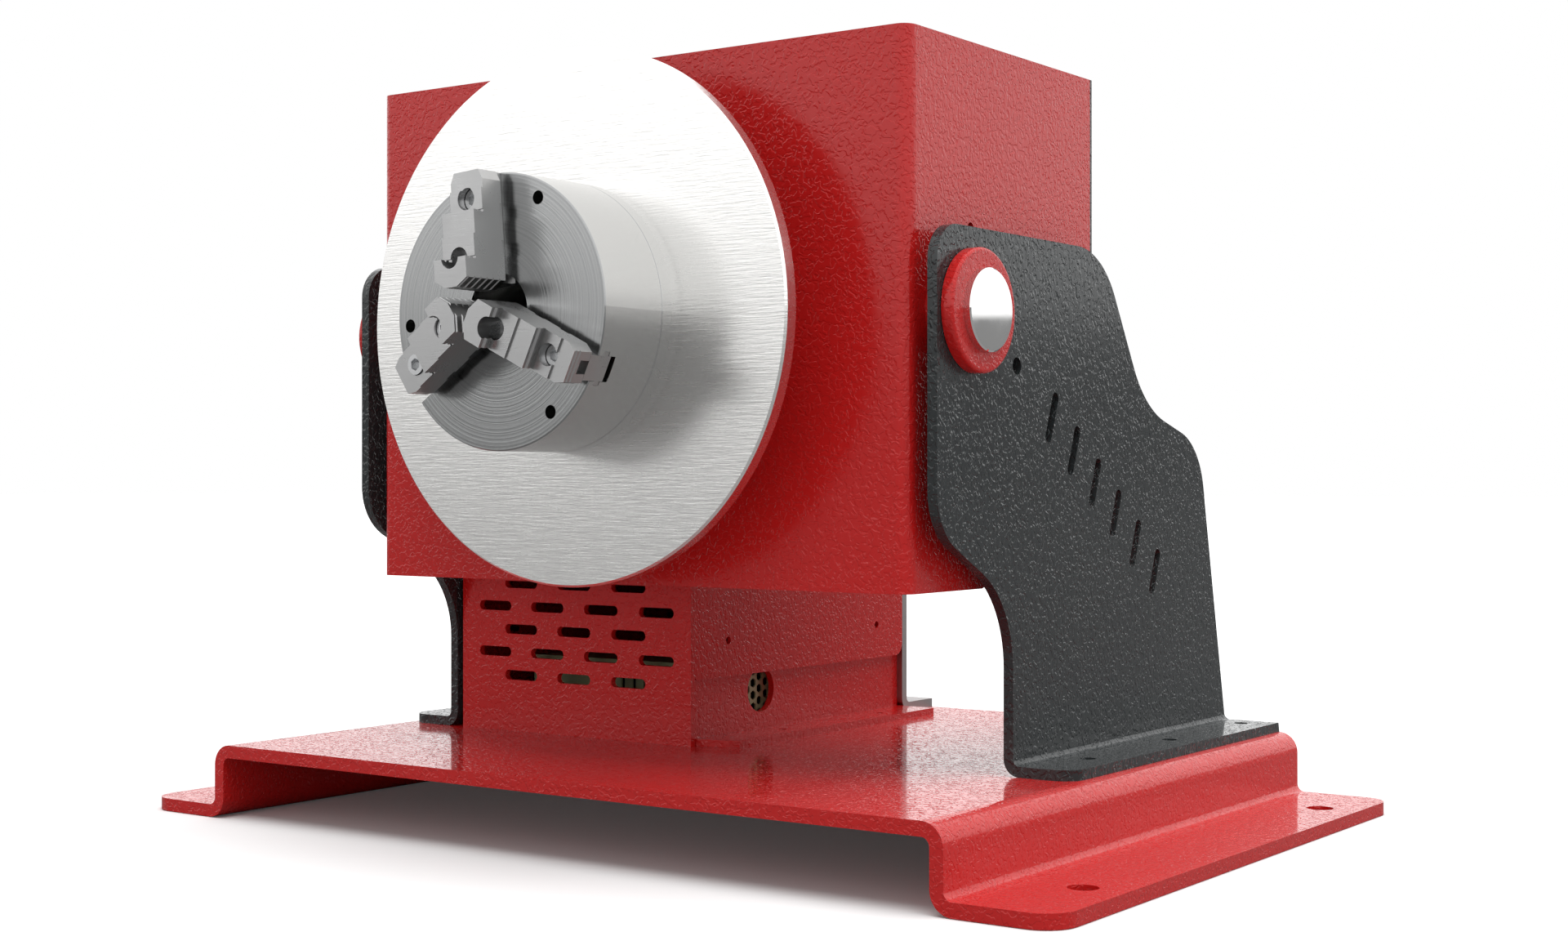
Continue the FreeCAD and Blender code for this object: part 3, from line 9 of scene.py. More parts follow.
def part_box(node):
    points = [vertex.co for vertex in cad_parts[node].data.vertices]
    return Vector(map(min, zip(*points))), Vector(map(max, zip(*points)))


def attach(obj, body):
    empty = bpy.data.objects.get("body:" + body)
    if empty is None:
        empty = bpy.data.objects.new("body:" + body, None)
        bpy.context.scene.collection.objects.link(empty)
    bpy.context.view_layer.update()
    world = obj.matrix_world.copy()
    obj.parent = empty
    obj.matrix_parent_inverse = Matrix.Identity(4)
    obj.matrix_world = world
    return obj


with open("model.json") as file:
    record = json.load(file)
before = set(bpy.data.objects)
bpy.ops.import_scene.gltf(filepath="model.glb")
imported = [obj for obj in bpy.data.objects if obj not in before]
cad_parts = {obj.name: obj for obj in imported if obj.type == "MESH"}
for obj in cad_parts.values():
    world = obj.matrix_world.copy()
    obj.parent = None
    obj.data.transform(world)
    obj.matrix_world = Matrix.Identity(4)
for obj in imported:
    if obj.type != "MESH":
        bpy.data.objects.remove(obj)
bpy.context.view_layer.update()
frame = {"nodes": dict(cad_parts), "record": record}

MM = 0.001

# A surface is a face across the spindle where its normal's share along Y is past ACROSS. It is level where the
# share along Z is past LEVEL_TO, and upright below LEVEL_FROM.
ACROSS = 0.7
LEVEL_FROM, LEVEL_TO = 0.3, 0.95

# The built-in font's capitals are this share of its size.
CAPITAL = 0.7

# Printed ink, as thick as a pad print, so that it stands clear of what it is on.
INK_FILM = 0.06 * MM

# The chuck, the faceplate and the trunnions share one height, and the chuck looks along -Y. The speed knob
# stands off the rear panel by knob_gap, and the panel looks along +Y.
pin_low, pin_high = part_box("trunnion_pin_right")
plate_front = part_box("faceplate")[0].y
spindle_axis = Vector((0.0, plate_front, (pin_low.z + pin_high.z) / 2))
base_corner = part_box("base_plate")[1]
knob_low, knob_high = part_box("speed_knob")
knob_gap = 4.0 * MM
panel_face = knob_low.y - knob_gap


# ------------------------------------------------------------------ helpers
def colour(code):
    """The linear RGBA of an sRGB hex colour."""
    def linear(channel):
        return channel / 12.92 if channel <= 0.04045 else ((channel + 0.055) / 1.055) ** 2.4

    return [linear(int(code[start:start + 2], 16) / 255) for start in (1, 3, 5)] + [1.0]


def grey_level(share):
    """The linear RGBA of a neutral grey."""
    return [share, share, share, 1.0]


def add(tree, kind, inputs=None, **settings):
    """Adds a node. Settings are its properties. Inputs are socket values, or the sockets that link into it."""
    made = tree.nodes.new(kind)
    for name, value in settings.items():
        setattr(made, name, value)
    for key, value in (inputs or {}).items():
        if isinstance(value, bpy.types.NodeSocket):
            tree.links.new(value, made.inputs[key])
        else:
            made.inputs[key].default_value = value
    return made


def finish(name):
    """A new material with its node tree and its surface shader."""
    made = bpy.data.materials.new(name)
    made.use_nodes = True
    return made, made.node_tree, made.node_tree.nodes["Principled BSDF"]


# ------------------------------------------------------------------ painted metal
def textured_powder_coat(name, film, shade, upright_haze, level_haze, grain_size, relief):
    """Polyester powder, sprayed and baked. The film draws up into crooked ridges 2 to 3.5 mm apart, so that a
    highlight breaks into short streaks and a flat sheet looks like leather. A level face holds a thicker
    film, so its ridges are higher and its shine is clearer."""
    valley, plateau = 0.43, 0.54
    level_gain = 1.7
    patch = 90 * MM
    made, tree, surface = finish(name)
    place = add(tree, "ShaderNodeTexCoord")
    ridges = add(tree, "ShaderNodeMapping",
                 {"Vector": place.outputs["Object"], "Scale": [size * MM for size in grain_size]},
                 vector_type="TEXTURE")
    grain = add(tree, "ShaderNodeTexNoise",
                {"Vector": ridges.outputs["Vector"], "Scale": 1.0, "Detail": 1.0, "Roughness": 0.4,
                 "Distortion": 0.8})
    plateaus = add(tree, "ShaderNodeMapRange",
                   {"Value": grain.outputs["Fac"], "From Min": valley, "From Max": plateau},
                   interpolation_type="SMOOTHSTEP")
    facing = add(tree, "ShaderNodeSeparateXYZ", {"Vector": place.outputs["Normal"]})
    ridge_height = add(tree, "ShaderNodeMapRange",
                       {"Value": facing.outputs["Z"], "From Min": LEVEL_FROM, "From Max": LEVEL_TO,
                        "To Min": relief * MM, "To Max": level_gain * relief * MM})
    bump = add(tree, "ShaderNodeBump",
               {"Height": plateaus.outputs["Result"], "Distance": ridge_height.outputs["Result"]})
    drift = add(tree, "ShaderNodeTexNoise",
                {"Vector": place.outputs["Object"], "Scale": 1 / patch, "Detail": 2.0})
    tone = add(tree, "ShaderNodeMix",
               {"Factor": drift.outputs["Fac"], 6: colour(film), 7: colour(shade)}, data_type="RGBA")
    haze = add(tree, "ShaderNodeMapRange",
               {"Value": facing.outputs["Z"], "From Min": LEVEL_FROM, "From Max": LEVEL_TO,
                "To Min": upright_haze, "To Max": level_haze})
    tree.links.new(tone.outputs[2], surface.inputs["Base Color"])
    tree.links.new(haze.outputs["Result"], surface.inputs["Roughness"])
    tree.links.new(bump.outputs["Normal"], surface.inputs["Normal"])
    surface.inputs["IOR"].default_value = 1.42
    return made


def satin_black_enamel():
    """Stoved enamel on the motor: an even black film with a soft sheen."""
    made, tree, surface = finish("Satin black enamel")
    place = add(tree, "ShaderNodeTexCoord").outputs["Object"]
    peel = add(tree, "ShaderNodeTexNoise", {"Vector": place, "Scale": 1 / (1.2 * MM), "Detail": 1.0})
    bump = add(tree, "ShaderNodeBump", {"Height": peel.outputs["Fac"], "Distance": 0.03 * MM})
    tree.links.new(bump.outputs["Normal"], surface.inputs["Normal"])
    surface.inputs["Base Color"].default_value = colour("#1B1C1E")
    surface.inputs["Roughness"].default_value = 0.4
    return made


# ------------------------------------------------------------------ bare metal
def brushed_plate_steel():
    """Steel plate brushed in straight level lines, with a turned rim. The lines blur a reflection upwards and
    downwards, so that the face goes from white to grey in one broad sweep. The scratches are 0.1 mm in a real
    plate, and they are drawn 1 mm high here, in short strokes, so that they show."""
    scratch, turned_band = (16 * MM, 4 * MM, 1.0 * MM), (60 * MM, 0.8 * MM, 60 * MM)
    rim_relief, face_relief = 0.004 * MM, 0.07 * MM
    made, tree, surface = finish("Straight brushed plate steel")
    place = add(tree, "ShaderNodeTexCoord")
    lines = add(tree, "ShaderNodeMapping",
                {"Vector": place.outputs["Object"], "Scale": scratch}, vector_type="TEXTURE")
    brushing = add(tree, "ShaderNodeTexNoise",
                   {"Vector": lines.outputs["Vector"], "Scale": 1.0, "Detail": 3.0, "Roughness": 0.6})
    bands = add(tree, "ShaderNodeMapping",
                {"Vector": place.outputs["Object"], "Scale": turned_band}, vector_type="TEXTURE")
    turning = add(tree, "ShaderNodeTexNoise",
                  {"Vector": bands.outputs["Vector"], "Scale": 1.0, "Detail": 2.0})
    facing = add(tree, "ShaderNodeSeparateXYZ", {"Vector": place.outputs["Normal"]})
    flatness = add(tree, "ShaderNodeMath", {0: facing.outputs["Y"]}, operation="ABSOLUTE")
    on_face = add(tree, "ShaderNodeMath", {0: flatness.outputs[0], 1: ACROSS}, operation="GREATER_THAN")
    height = add(tree, "ShaderNodeMix",
                 {"Factor": on_face.outputs[0], 2: turning.outputs["Fac"], 3: brushing.outputs["Fac"]})
    depth = add(tree, "ShaderNodeMix", {"Factor": on_face.outputs[0], 2: rim_relief, 3: face_relief})
    bump = add(tree, "ShaderNodeBump", {"Height": height.outputs[0], "Distance": depth.outputs[0]})
    wear = add(tree, "ShaderNodeMapRange",
               {"Value": brushing.outputs["Fac"], "To Min": 0.2, "To Max": 0.32})
    tree.links.new(wear.outputs["Result"], surface.inputs["Roughness"])
    tree.links.new(bump.outputs["Normal"], surface.inputs["Normal"])
    surface.inputs["Base Color"].default_value = colour("#EFEEEC")
    surface.inputs["Metallic"].default_value = 1.0
    return made


def turned_steel(name, face_tint, painted_groove_shade, side_tint_painted_brighter, low, high, ring, relief):
    """Steel turned in a lathe. The tool leaves rings on a face, and a ring's own slope catches or loses the
    light; the grooves are also painted darker, as painted shade.
    The side is ground after turning, so its bands are shallow, and it is painted brighter than the face, as
    painted light."""
    side_share = 0.15
    made, tree, surface = finish(name)
    place = add(tree, "ShaderNodeTexCoord")
    centred = add(tree, "ShaderNodeMapping",
                  {"Vector": place.outputs["Object"], "Location": spindle_axis}, vector_type="TEXTURE")
    flat = add(tree, "ShaderNodeVectorMath", {0: centred.outputs["Vector"], 1: (1, 0, 1)},
               operation="MULTIPLY")
    radius = add(tree, "ShaderNodeVectorMath", {0: flat.outputs["Vector"]}, operation="LENGTH")
    along = add(tree, "ShaderNodeSeparateXYZ", {"Vector": centred.outputs["Vector"]})
    facing = add(tree, "ShaderNodeSeparateXYZ", {"Vector": place.outputs["Normal"]})
    flatness = add(tree, "ShaderNodeMath", {0: facing.outputs["Y"]}, operation="ABSOLUTE")
    on_face = add(tree, "ShaderNodeMath", {0: flatness.outputs[0], 1: ACROSS}, operation="GREATER_THAN")
    travel = add(tree, "ShaderNodeMix",
                 {"Factor": on_face.outputs[0], 2: along.outputs["Y"], 3: radius.outputs["Value"]})
    cuts = add(tree, "ShaderNodeTexNoise",
               {"W": travel.outputs[0], "Scale": 1 / (ring * MM), "Detail": 3.0, "Roughness": 0.65},
               noise_dimensions="1D")
    depth = add(tree, "ShaderNodeMix",
                {"Factor": on_face.outputs[0], 2: side_share * relief * MM, 3: relief * MM})
    bump = add(tree, "ShaderNodeBump", {"Height": cuts.outputs["Fac"], "Distance": depth.outputs[0]})
    polish = add(tree, "ShaderNodeMapRange", {"Value": cuts.outputs["Fac"], "To Min": low, "To Max": high})
    # Painted shade: the grooves between the turned rings are coloured darker than the ring tops.
    face_with_painted_grooves = add(tree, "ShaderNodeMix",
                    {"Factor": cuts.outputs["Fac"], 6: colour(painted_groove_shade), 7: colour(face_tint)},
                    data_type="RGBA")
    # Painted light: the side gets a brighter tint than the face of the same steel.
    tint = add(tree, "ShaderNodeMix",
               {"Factor": on_face.outputs[0], 6: colour(side_tint_painted_brighter), 7: face_with_painted_grooves.outputs[2]}, data_type="RGBA")
    tree.links.new(polish.outputs["Result"], surface.inputs["Roughness"])
    tree.links.new(bump.outputs["Normal"], surface.inputs["Normal"])
    tree.links.new(tint.outputs[2], surface.inputs["Base Color"])
    surface.inputs["Metallic"].default_value = 1.0
    return made


def worked_steel(name, tint, low, high, line, relief, metallic=1.0):
    """Steel that is ground, rolled or plated: fine lines in one direction and a slow drift in its shine."""
    patch = 14 * MM
    made, tree, surface = finish(name)
    place = add(tree, "ShaderNodeTexCoord").outputs["Object"]
    lines = add(tree, "ShaderNodeMapping", {"Vector": place, "Scale": [size * MM for size in line]},
                vector_type="TEXTURE")
    grinding = add(tree, "ShaderNodeTexNoise",
                   {"Vector": lines.outputs["Vector"], "Scale": 1.0, "Detail": 3.0, "Roughness": 0.6})
    drift = add(tree, "ShaderNodeTexNoise", {"Vector": place, "Scale": 1 / patch, "Detail": 2.0})
    both = add(tree, "ShaderNodeMath", {0: grinding.outputs["Fac"], 1: drift.outputs["Fac"]},
               operation="MULTIPLY")
    polish = add(tree, "ShaderNodeMapRange",
                 {"Value": both.outputs[0], "From Min": 0.1, "From Max": 0.45, "To Min": low, "To Max": high})
    bump = add(tree, "ShaderNodeBump", {"Height": grinding.outputs["Fac"], "Distance": relief * MM})
    tree.links.new(polish.outputs["Result"], surface.inputs["Roughness"])
    tree.links.new(bump.outputs["Normal"], surface.inputs["Normal"])
    surface.inputs["Base Color"].default_value = colour(tint)
    surface.inputs["Metallic"].default_value = metallic
    return made


# ------------------------------------------------------------------ plastics
def moulded_plastic(name, tint, roughness, ior, grain, relief):
    """Injection-moulded plastic. The steel mould's spark texture leaves a fine even grain."""
    spread = 0.06
    made, tree, surface = finish(name)
    place = add(tree, "ShaderNodeTexCoord").outputs["Object"]
    spark = add(tree, "ShaderNodeTexNoise", {"Vector": place, "Scale": 1 / (grain * MM), "Detail": 2.0})
    bump = add(tree, "ShaderNodeBump", {"Height": spark.outputs["Fac"], "Distance": relief * MM})
    shine = add(tree, "ShaderNodeMapRange",
                {"Value": spark.outputs["Fac"], "To Min": roughness - spread, "To Max": roughness + spread})
    tree.links.new(shine.outputs["Result"], surface.inputs["Roughness"])
    tree.links.new(bump.outputs["Normal"], surface.inputs["Normal"])
    surface.inputs["Base Color"].default_value = colour(tint)
    surface.inputs["IOR"].default_value = ior
    return made


def green_solder_mask():
    """Epoxy solder mask over copper: green, glossy, and paler where a track runs under it."""
    track_spacing = 9 * MM
    made, tree, surface = finish("Green solder mask")
    place = add(tree, "ShaderNodeTexCoord").outputs["Object"]
    tracks = add(tree, "ShaderNodeTexBrick",
                 {"Vector": place, "Color1": colour("#12512B"), "Color2": colour("#0E4424"),
                  "Mortar": colour("#1F6E3C"), "Scale": 1 / track_spacing, "Mortar Size": 0.06})
    tree.links.new(tracks.outputs["Color"], surface.inputs["Base Color"])
    surface.inputs["Roughness"].default_value = 0.25
    surface.inputs["IOR"].default_value = 1.55
    return made


def printed_ink(name, tint):
    """Two-part ink, pad printed. The film is thin and matt, and its shine is uneven where it has pulled."""
    made, tree, surface = finish(name)
    place = add(tree, "ShaderNodeTexCoord").outputs["Object"]
    pull = add(tree, "ShaderNodeTexNoise", {"Vector": place, "Scale": 1 / (0.6 * MM), "Detail": 2.0})
    shine = add(tree, "ShaderNodeMapRange", {"Value": pull.outputs["Fac"], "To Min": 0.42, "To Max": 0.62})
    tree.links.new(shine.outputs["Result"], surface.inputs["Roughness"])
    surface.inputs["Base Color"].default_value = colour(tint)
    surface.inputs["IOR"].default_value = 1.5
    return made


finishes = {
    # Baked paint.
    "red_powder_coat": textured_powder_coat(
        "Textured red powder coat", film="#D02221", shade="#C81F1E", upright_haze=0.18, level_haze=0.09,
        grain_size=(2.9, 2.2, 2.6), relief=0.15),
    "dark_powder_coat": textured_powder_coat(
        "Textured graphite powder coat", film="#323637", shade="#2E3233", upright_haze=0.15, level_haze=0.13,
        grain_size=(2.8, 2.4, 3.4), relief=0.3),
    "motor_paint": satin_black_enamel(),
    # Bare steel, from mirror bright pins to the dull rolled sheet of the rear panel.
    "polished_steel": worked_steel("Ground and polished steel", "#E4E4E3", 0.02, 0.05, (20, 20, 20), 0.0),
    "brushed_faceplate": brushed_plate_steel(),
    # Both turned steels have painted shade in their ring grooves and a side painted brighter than the face.
    "chuck_steel": turned_steel(
        "Fine turned chuck steel", face_tint="#AEAFAF", painted_groove_shade="#8C8D8D", side_tint_painted_brighter="#BEBEBD", low=0.16,
        high=0.3, ring=1.1, relief=0.05),
    "machined_steel": turned_steel(
        "Turned steel", face_tint="#BEBEBD", painted_groove_shade="#A4A4A3", side_tint_painted_brighter="#D6D6D5", low=0.22, high=0.42,
        ring=0.9, relief=0.03),
    "jaw_steel": worked_steel("Ground jaw steel", "#B2B2B2", 0.25, 0.42, (14, 0.6, 0.6), 0.02),
    "bare_steel_sheet": worked_steel("Cold rolled sheet steel", "#A09A9A", 0.34, 0.5, (1, 1, 24), 0.015),
    # Plated and blackened parts. The olive film is thin and half clear, so it isn't a full metal.
    "zinc_screws": worked_steel("Bright zinc plate", "#C9CACB", 0.22, 0.4, (2, 2, 2), 0.01),
    "black_screws": worked_steel("Black oxide steel", "#2B2B2C", 0.35, 0.5, (1, 1, 1), 0.01),
    "satin_metal": worked_steel("Nickel plated brass", "#C4C2BC", 0.2, 0.34, (2, 2, 2), 0.006),
    "olive_plated_sheet": worked_steel("Olive passivated sheet", "#98A27C", 0.36, 0.55, (6, 6, 6), 0.01, 0.3),
    # Plastics.
    "black_plastic": moulded_plastic("Moulded black nylon", "#17181A", 0.45, 1.53, 0.5, 0.02),
    "gloss_black_plastic": moulded_plastic("Gloss black polycarbonate", "#121315", 0.14, 1.58, 2.0, 0.004),
    "terminal_plastic": moulded_plastic("Moulded black terminal nylon", "#1A1B1C", 0.5, 1.53, 0.4, 0.02),
    "circuit_board": green_solder_mask(),
}

for row in frame["record"]["subparts"]:
    for place in frame["nodes"][row["node"]].material_slots:
        place.material = finishes[row["material_slot"]]


# ------------------------------------------------------------------ grown and printed details
def geometry_tree(name, sockets):
    """An empty geometry tree with named inputs. Returns the tree and the node that gives those inputs."""
    tree = bpy.data.node_groups.new(name, "GeometryNodeTree")
    for label, kind in sockets:
        tree.interface.new_socket(name=label, in_out="INPUT", socket_type=kind)
    tree.interface.new_socket(name="Geometry", in_out="OUTPUT", socket_type="NodeSocketGeometry")
    return tree, add(tree, "NodeGroupInput").outputs


def close(tree, geometry, material):
    """Ends a tree: instances become real, and the finish goes on."""
    real = add(tree, "GeometryNodeRealizeInstances", {"Geometry": geometry})
    dressed = add(tree, "GeometryNodeSetMaterial", {"Geometry": real.outputs[0], "Material": material})
    add(tree, "NodeGroupOutput", {"Geometry": dressed.outputs[0]})


def grow(name, tree, values, body):
    """Runs a tree with its sizes and leaves the result as a plain mesh that rides on a body."""
    piece = bpy.data.objects.new(name, bpy.data.meshes.new(name))
    bpy.context.scene.collection.objects.link(piece)
    growth = piece.modifiers.new("growth", "NODES")
    growth.node_group = tree
    for socket in tree.interface.items_tree:
        if socket.in_out == "INPUT":
            growth[socket.identifier] = values[socket.name]
    settled = bpy.context.evaluated_depsgraph_get()
    grown = bpy.data.meshes.new_from_object(piece.evaluated_get(settled), depsgraph=settled)
    piece.modifiers.clear()
    piece.data = grown
    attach(piece, body)
    return piece


def mesh_piece(name, shape, material, body):
    """Turns a bmesh into a piece that rides on a body."""
    mesh = bpy.data.meshes.new(name)
    shape.to_mesh(mesh)
    shape.free()
    mesh.materials.append(material)
    piece = bpy.data.objects.new(name, mesh)
    bpy.context.scene.collection.objects.link(piece)
    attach(piece, body)


def print_words(name, words, height, ink, body):
    """Printed words. Each has its centre, the direction it reads in, and its upward direction."""
    ink_mesh = bmesh.new()
    for word, centre, reading, upward in words:
        text = bpy.data.curves.new(word, "FONT")
        text.body = word
        text.size = height / CAPITAL
        text.extrude = INK_FILM / 2
        text.align_x = "CENTER"
        text.align_y = "CENTER"
        text.resolution_u = 6
        writer = bpy.data.objects.new(word, text)
        bpy.context.scene.collection.objects.link(writer)
        settled = bpy.context.evaluated_depsgraph_get()
        letters = bpy.data.meshes.new_from_object(writer.evaluated_get(settled), depsgraph=settled)
        bpy.data.objects.remove(writer)
        low, high = (Vector([end(point.co[axis] for point in letters.vertices) for axis in range(3)])
                     for end in (min, max))
        turn = Matrix((reading, upward, reading.cross(upward))).transposed().to_4x4()
        letters.transform(Matrix.Translation(centre) @ turn @ Matrix.Translation(-(low + high) / 2))
        ink_mesh.from_mesh(letters)
    mesh_piece(name, ink_mesh, ink, body)


def joint_of(name):
    """A joint of the record by its name."""
    return next(joint for joint in frame["record"]["behaviour"]["joints"] if joint["name"] == name)


def dial_scale_tree():
    """Strokes round a centre, each turned outwards, and the arc that they stand on. They start straight up."""
    tree, size = geometry_tree("dial_scale", [
        ("Strokes", "NodeSocketInt"), ("Sweep", "NodeSocketFloat"), ("Radius", "NodeSocketFloat"),
        ("Stroke Length", "NodeSocketFloat"), ("Line Width", "NodeSocketFloat"), ("Film", "NodeSocketFloat"),
        ("Centre", "NodeSocketVector"), ("Ink", "NodeSocketMaterial")])
    turn_count = add(tree, "ShaderNodeMath", {0: size["Strokes"], 1: 1.0}, operation="SUBTRACT")
    step = add(tree, "ShaderNodeMath", {0: size["Sweep"], 1: turn_count.outputs[0]}, operation="DIVIDE")
    number = add(tree, "GeometryNodeInputIndex")
    angle = add(tree, "ShaderNodeMath", {0: number.outputs[0], 1: step.outputs[0]}, operation="MULTIPLY")
    sine = add(tree, "ShaderNodeMath", {0: angle.outputs[0]}, operation="SINE")
    cosine = add(tree, "ShaderNodeMath", {0: angle.outputs[0]}, operation="COSINE")
    half = add(tree, "ShaderNodeMath", {0: size["Stroke Length"], 1: 0.5}, operation="MULTIPLY")
    middle = add(tree, "ShaderNodeMath", {0: size["Radius"], 1: half.outputs[0]}, operation="ADD")
    direction = add(tree, "ShaderNodeCombineXYZ", {"X": sine.outputs[0], "Z": cosine.outputs[0]})
    place = add(tree, "ShaderNodeVectorMath", {0: direction.outputs[0], "Scale": middle.outputs[0]},
                operation="SCALE")
    points = add(tree, "GeometryNodePoints", {"Count": size["Strokes"], "Position": place.outputs[0]})
    block = add(tree, "ShaderNodeCombineXYZ",
                {"X": size["Line Width"], "Y": size["Film"], "Z": size["Stroke Length"]})
    stroke = add(tree, "GeometryNodeMeshCube", {"Size": block.outputs[0]})
    turned = add(tree, "ShaderNodeCombineXYZ", {"Y": angle.outputs[0]})
    facing = add(tree, "FunctionNodeEulerToRotation", {0: turned.outputs[0]})
    strokes = add(tree, "GeometryNodeInstanceOnPoints",
                  {"Points": points.outputs[0], "Instance": stroke.outputs[0], "Rotation": facing.outputs[0]})
    arc_start = add(tree, "ShaderNodeMath", {0: math.pi / 2, 1: size["Sweep"]}, operation="SUBTRACT")
    arc = add(tree, "GeometryNodeCurveArc",
              {"Resolution": 96, "Radius": size["Radius"], "Start Angle": arc_start.outputs[0],
               "Sweep Angle": size["Sweep"]})
    band = add(tree, "GeometryNodeCurvePrimitiveQuadrilateral",
               {"Width": size["Line Width"], "Height": size["Film"]})
    line = add(tree, "GeometryNodeCurveToMesh",
               {"Curve": arc.outputs[0], "Profile Curve": band.outputs[0], "Fill Caps": True})
    upright = add(tree, "GeometryNodeTransform",
                  {"Geometry": line.outputs[0], "Rotation": (math.pi / 2, 0.0, 0.0)})
    both = add(tree, "GeometryNodeJoinGeometry", {"Geometry": strokes.outputs[0]})
    tree.links.new(upright.outputs[0], both.inputs["Geometry"])
    placed = add(tree, "GeometryNodeTransform",
                 {"Geometry": both.outputs[0], "Translation": size["Centre"]})
    close(tree, placed.outputs[0], size["Ink"])
    return tree


def thread_tree():
    """A rounded thread: one ridge that climbs round a collar along Y."""
    tree, size = geometry_tree("collar_thread", [
        ("Turns", "NodeSocketFloat"), ("Radius", "NodeSocketFloat"), ("Length", "NodeSocketFloat"),
        ("Ridge", "NodeSocketFloat"), ("Foot", "NodeSocketVector"), ("Metal", "NodeSocketMaterial")])
    helix = add(tree, "GeometryNodeCurveSpiral",
                {"Resolution": 64, "Rotations": size["Turns"], "Start Radius": size["Radius"],
                 "End Radius": size["Radius"], "Height": size["Length"]})
    ridge = add(tree, "GeometryNodeCurvePrimitiveCircle", {"Resolution": 6, "Radius": size["Ridge"]})
    swept = add(tree, "GeometryNodeCurveToMesh",
                {"Curve": helix.outputs[0], "Profile Curve": ridge.outputs[0], "Fill Caps": True})
    laid = add(tree, "GeometryNodeTransform",
               {"Geometry": swept.outputs[0], "Rotation": (-math.pi / 2, 0.0, 0.0),
                "Translation": size["Foot"]})
    close(tree, laid.outputs[0], size["Metal"])
    return tree


def dial_markings():
    """The scale round the speed knob. It follows the knob's own travel: 10 where the pointer stands at rest,
    and 0 at the far end."""
    top_value, value_step = 10, 2
    arc_radius, number_radius = 15.4 * MM, 19.7 * MM
    black = printed_ink("Black panel ink", "#151516")
    travel = joint_of("speed_knob_turn")
    sweep = math.radians(travel["range_deg"][1] - travel["range_deg"][0])
    hub = Vector(travel["pos_m"])
    centre = Vector((hub.x, panel_face + INK_FILM / 2, hub.z))
    grow("dial_scale", dial_scale_tree(), {
        "Strokes": top_value + 1, "Sweep": sweep, "Radius": arc_radius, "Stroke Length": 2.0 * MM,
        "Line Width": 0.45 * MM, "Film": INK_FILM, "Centre": tuple(centre), "Ink": black}, "frame")
    words = []
    for value in range(0, top_value + 1, value_step):
        angle = sweep * (1 - value / top_value)
        place = centre + number_radius * Vector((math.sin(angle), 0, math.cos(angle)))
        words.append((str(value), place, Vector((-1, 0, 0)), Vector((0, 0, 1))))
    print_words("dial_numbers", words, height=2.7 * MM, ink=black, body="frame")


def knob_pointer():
    """White paint in the knob's pointer groove, from near its middle out to its rim, round at both ends."""
    start, end, half_wide = 0.9 * MM, 8.5 * MM, 0.36 * MM
    groove_floor, paint_depth, round_steps = knob_high.y - 0.6 * MM, 0.5 * MM, 8
    centre = (knob_low + knob_high) / 2
    paint = bmesh.new()
    outline = []
    for middle, first in ((centre.z + end, 0.0), (centre.z + start, math.pi)):
        for step in range(round_steps + 1):
            angle = first + math.pi * step / round_steps
            outline.append(paint.verts.new((centre.x + half_wide * math.cos(angle), groove_floor,
                                            middle + half_wide * math.sin(angle))))
    stroke = paint.faces.new(outline)
    raised = bmesh.ops.extrude_face_region(paint, geom=[stroke])["geom"]
    bmesh.ops.translate(paint, vec=(0, paint_depth, 0),
                        verts=[part for part in raised if isinstance(part, bmesh.types.BMVert)])
    bmesh.ops.recalc_face_normals(paint, faces=paint.faces)
    mesh_piece("knob_pointer", paint, printed_ink("White enamel fill", "#E6E6E2"), "knob")


def rocker_markings():
    """I and O on the two wings of the power rocker, each laid in its own wing's slope."""
    wing_reach, raised, pressed, valley_rise = 7.2 * MM, 2.9 * MM, 0.9 * MM, 0.1 * MM
    place_on_wing = 0.55
    pivot = Vector(joint_of("power_rocker_tilt")["pos_m"])
    valley = Vector((pivot.x, panel_face + valley_rise, pivot.z))
    upward = Vector((0, 0, 1))
    words = []
    for word, slope in (("I", Vector((-wing_reach, raised, 0))), ("O", Vector((wing_reach, pressed, 0)))):
        reading = (slope if slope.x < 0 else -slope).normalized()
        place = valley + slope * place_on_wing + reading.cross(upward) * INK_FILM / 2
        words.append((word, place, reading, upward))
    print_words("rocker_marks", words, height=4.2 * MM, ink=printed_ink("White pad print", "#E9E9E6"),
                body="rocker")


def socket_thread():
    """The thread that the pedal plug's ring screws onto, 1 mm from crest to crest."""
    pitch, length, end_gap = 1.0 * MM, 6.4 * MM, 0.8 * MM
    low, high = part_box("pedal_socket")
    foot = ((low.x + high.x) / 2, high.y - end_gap - length, (low.z + high.z) / 2)
    thread = grow("socket_thread", thread_tree(), {
        "Turns": length / pitch, "Radius": 8.55 * MM, "Length": length, "Ridge": 0.36 * MM, "Foot": foot,
        "Metal": finishes["satin_metal"]}, "frame")


dial_markings()
knob_pointer()
rocker_markings()
socket_thread()


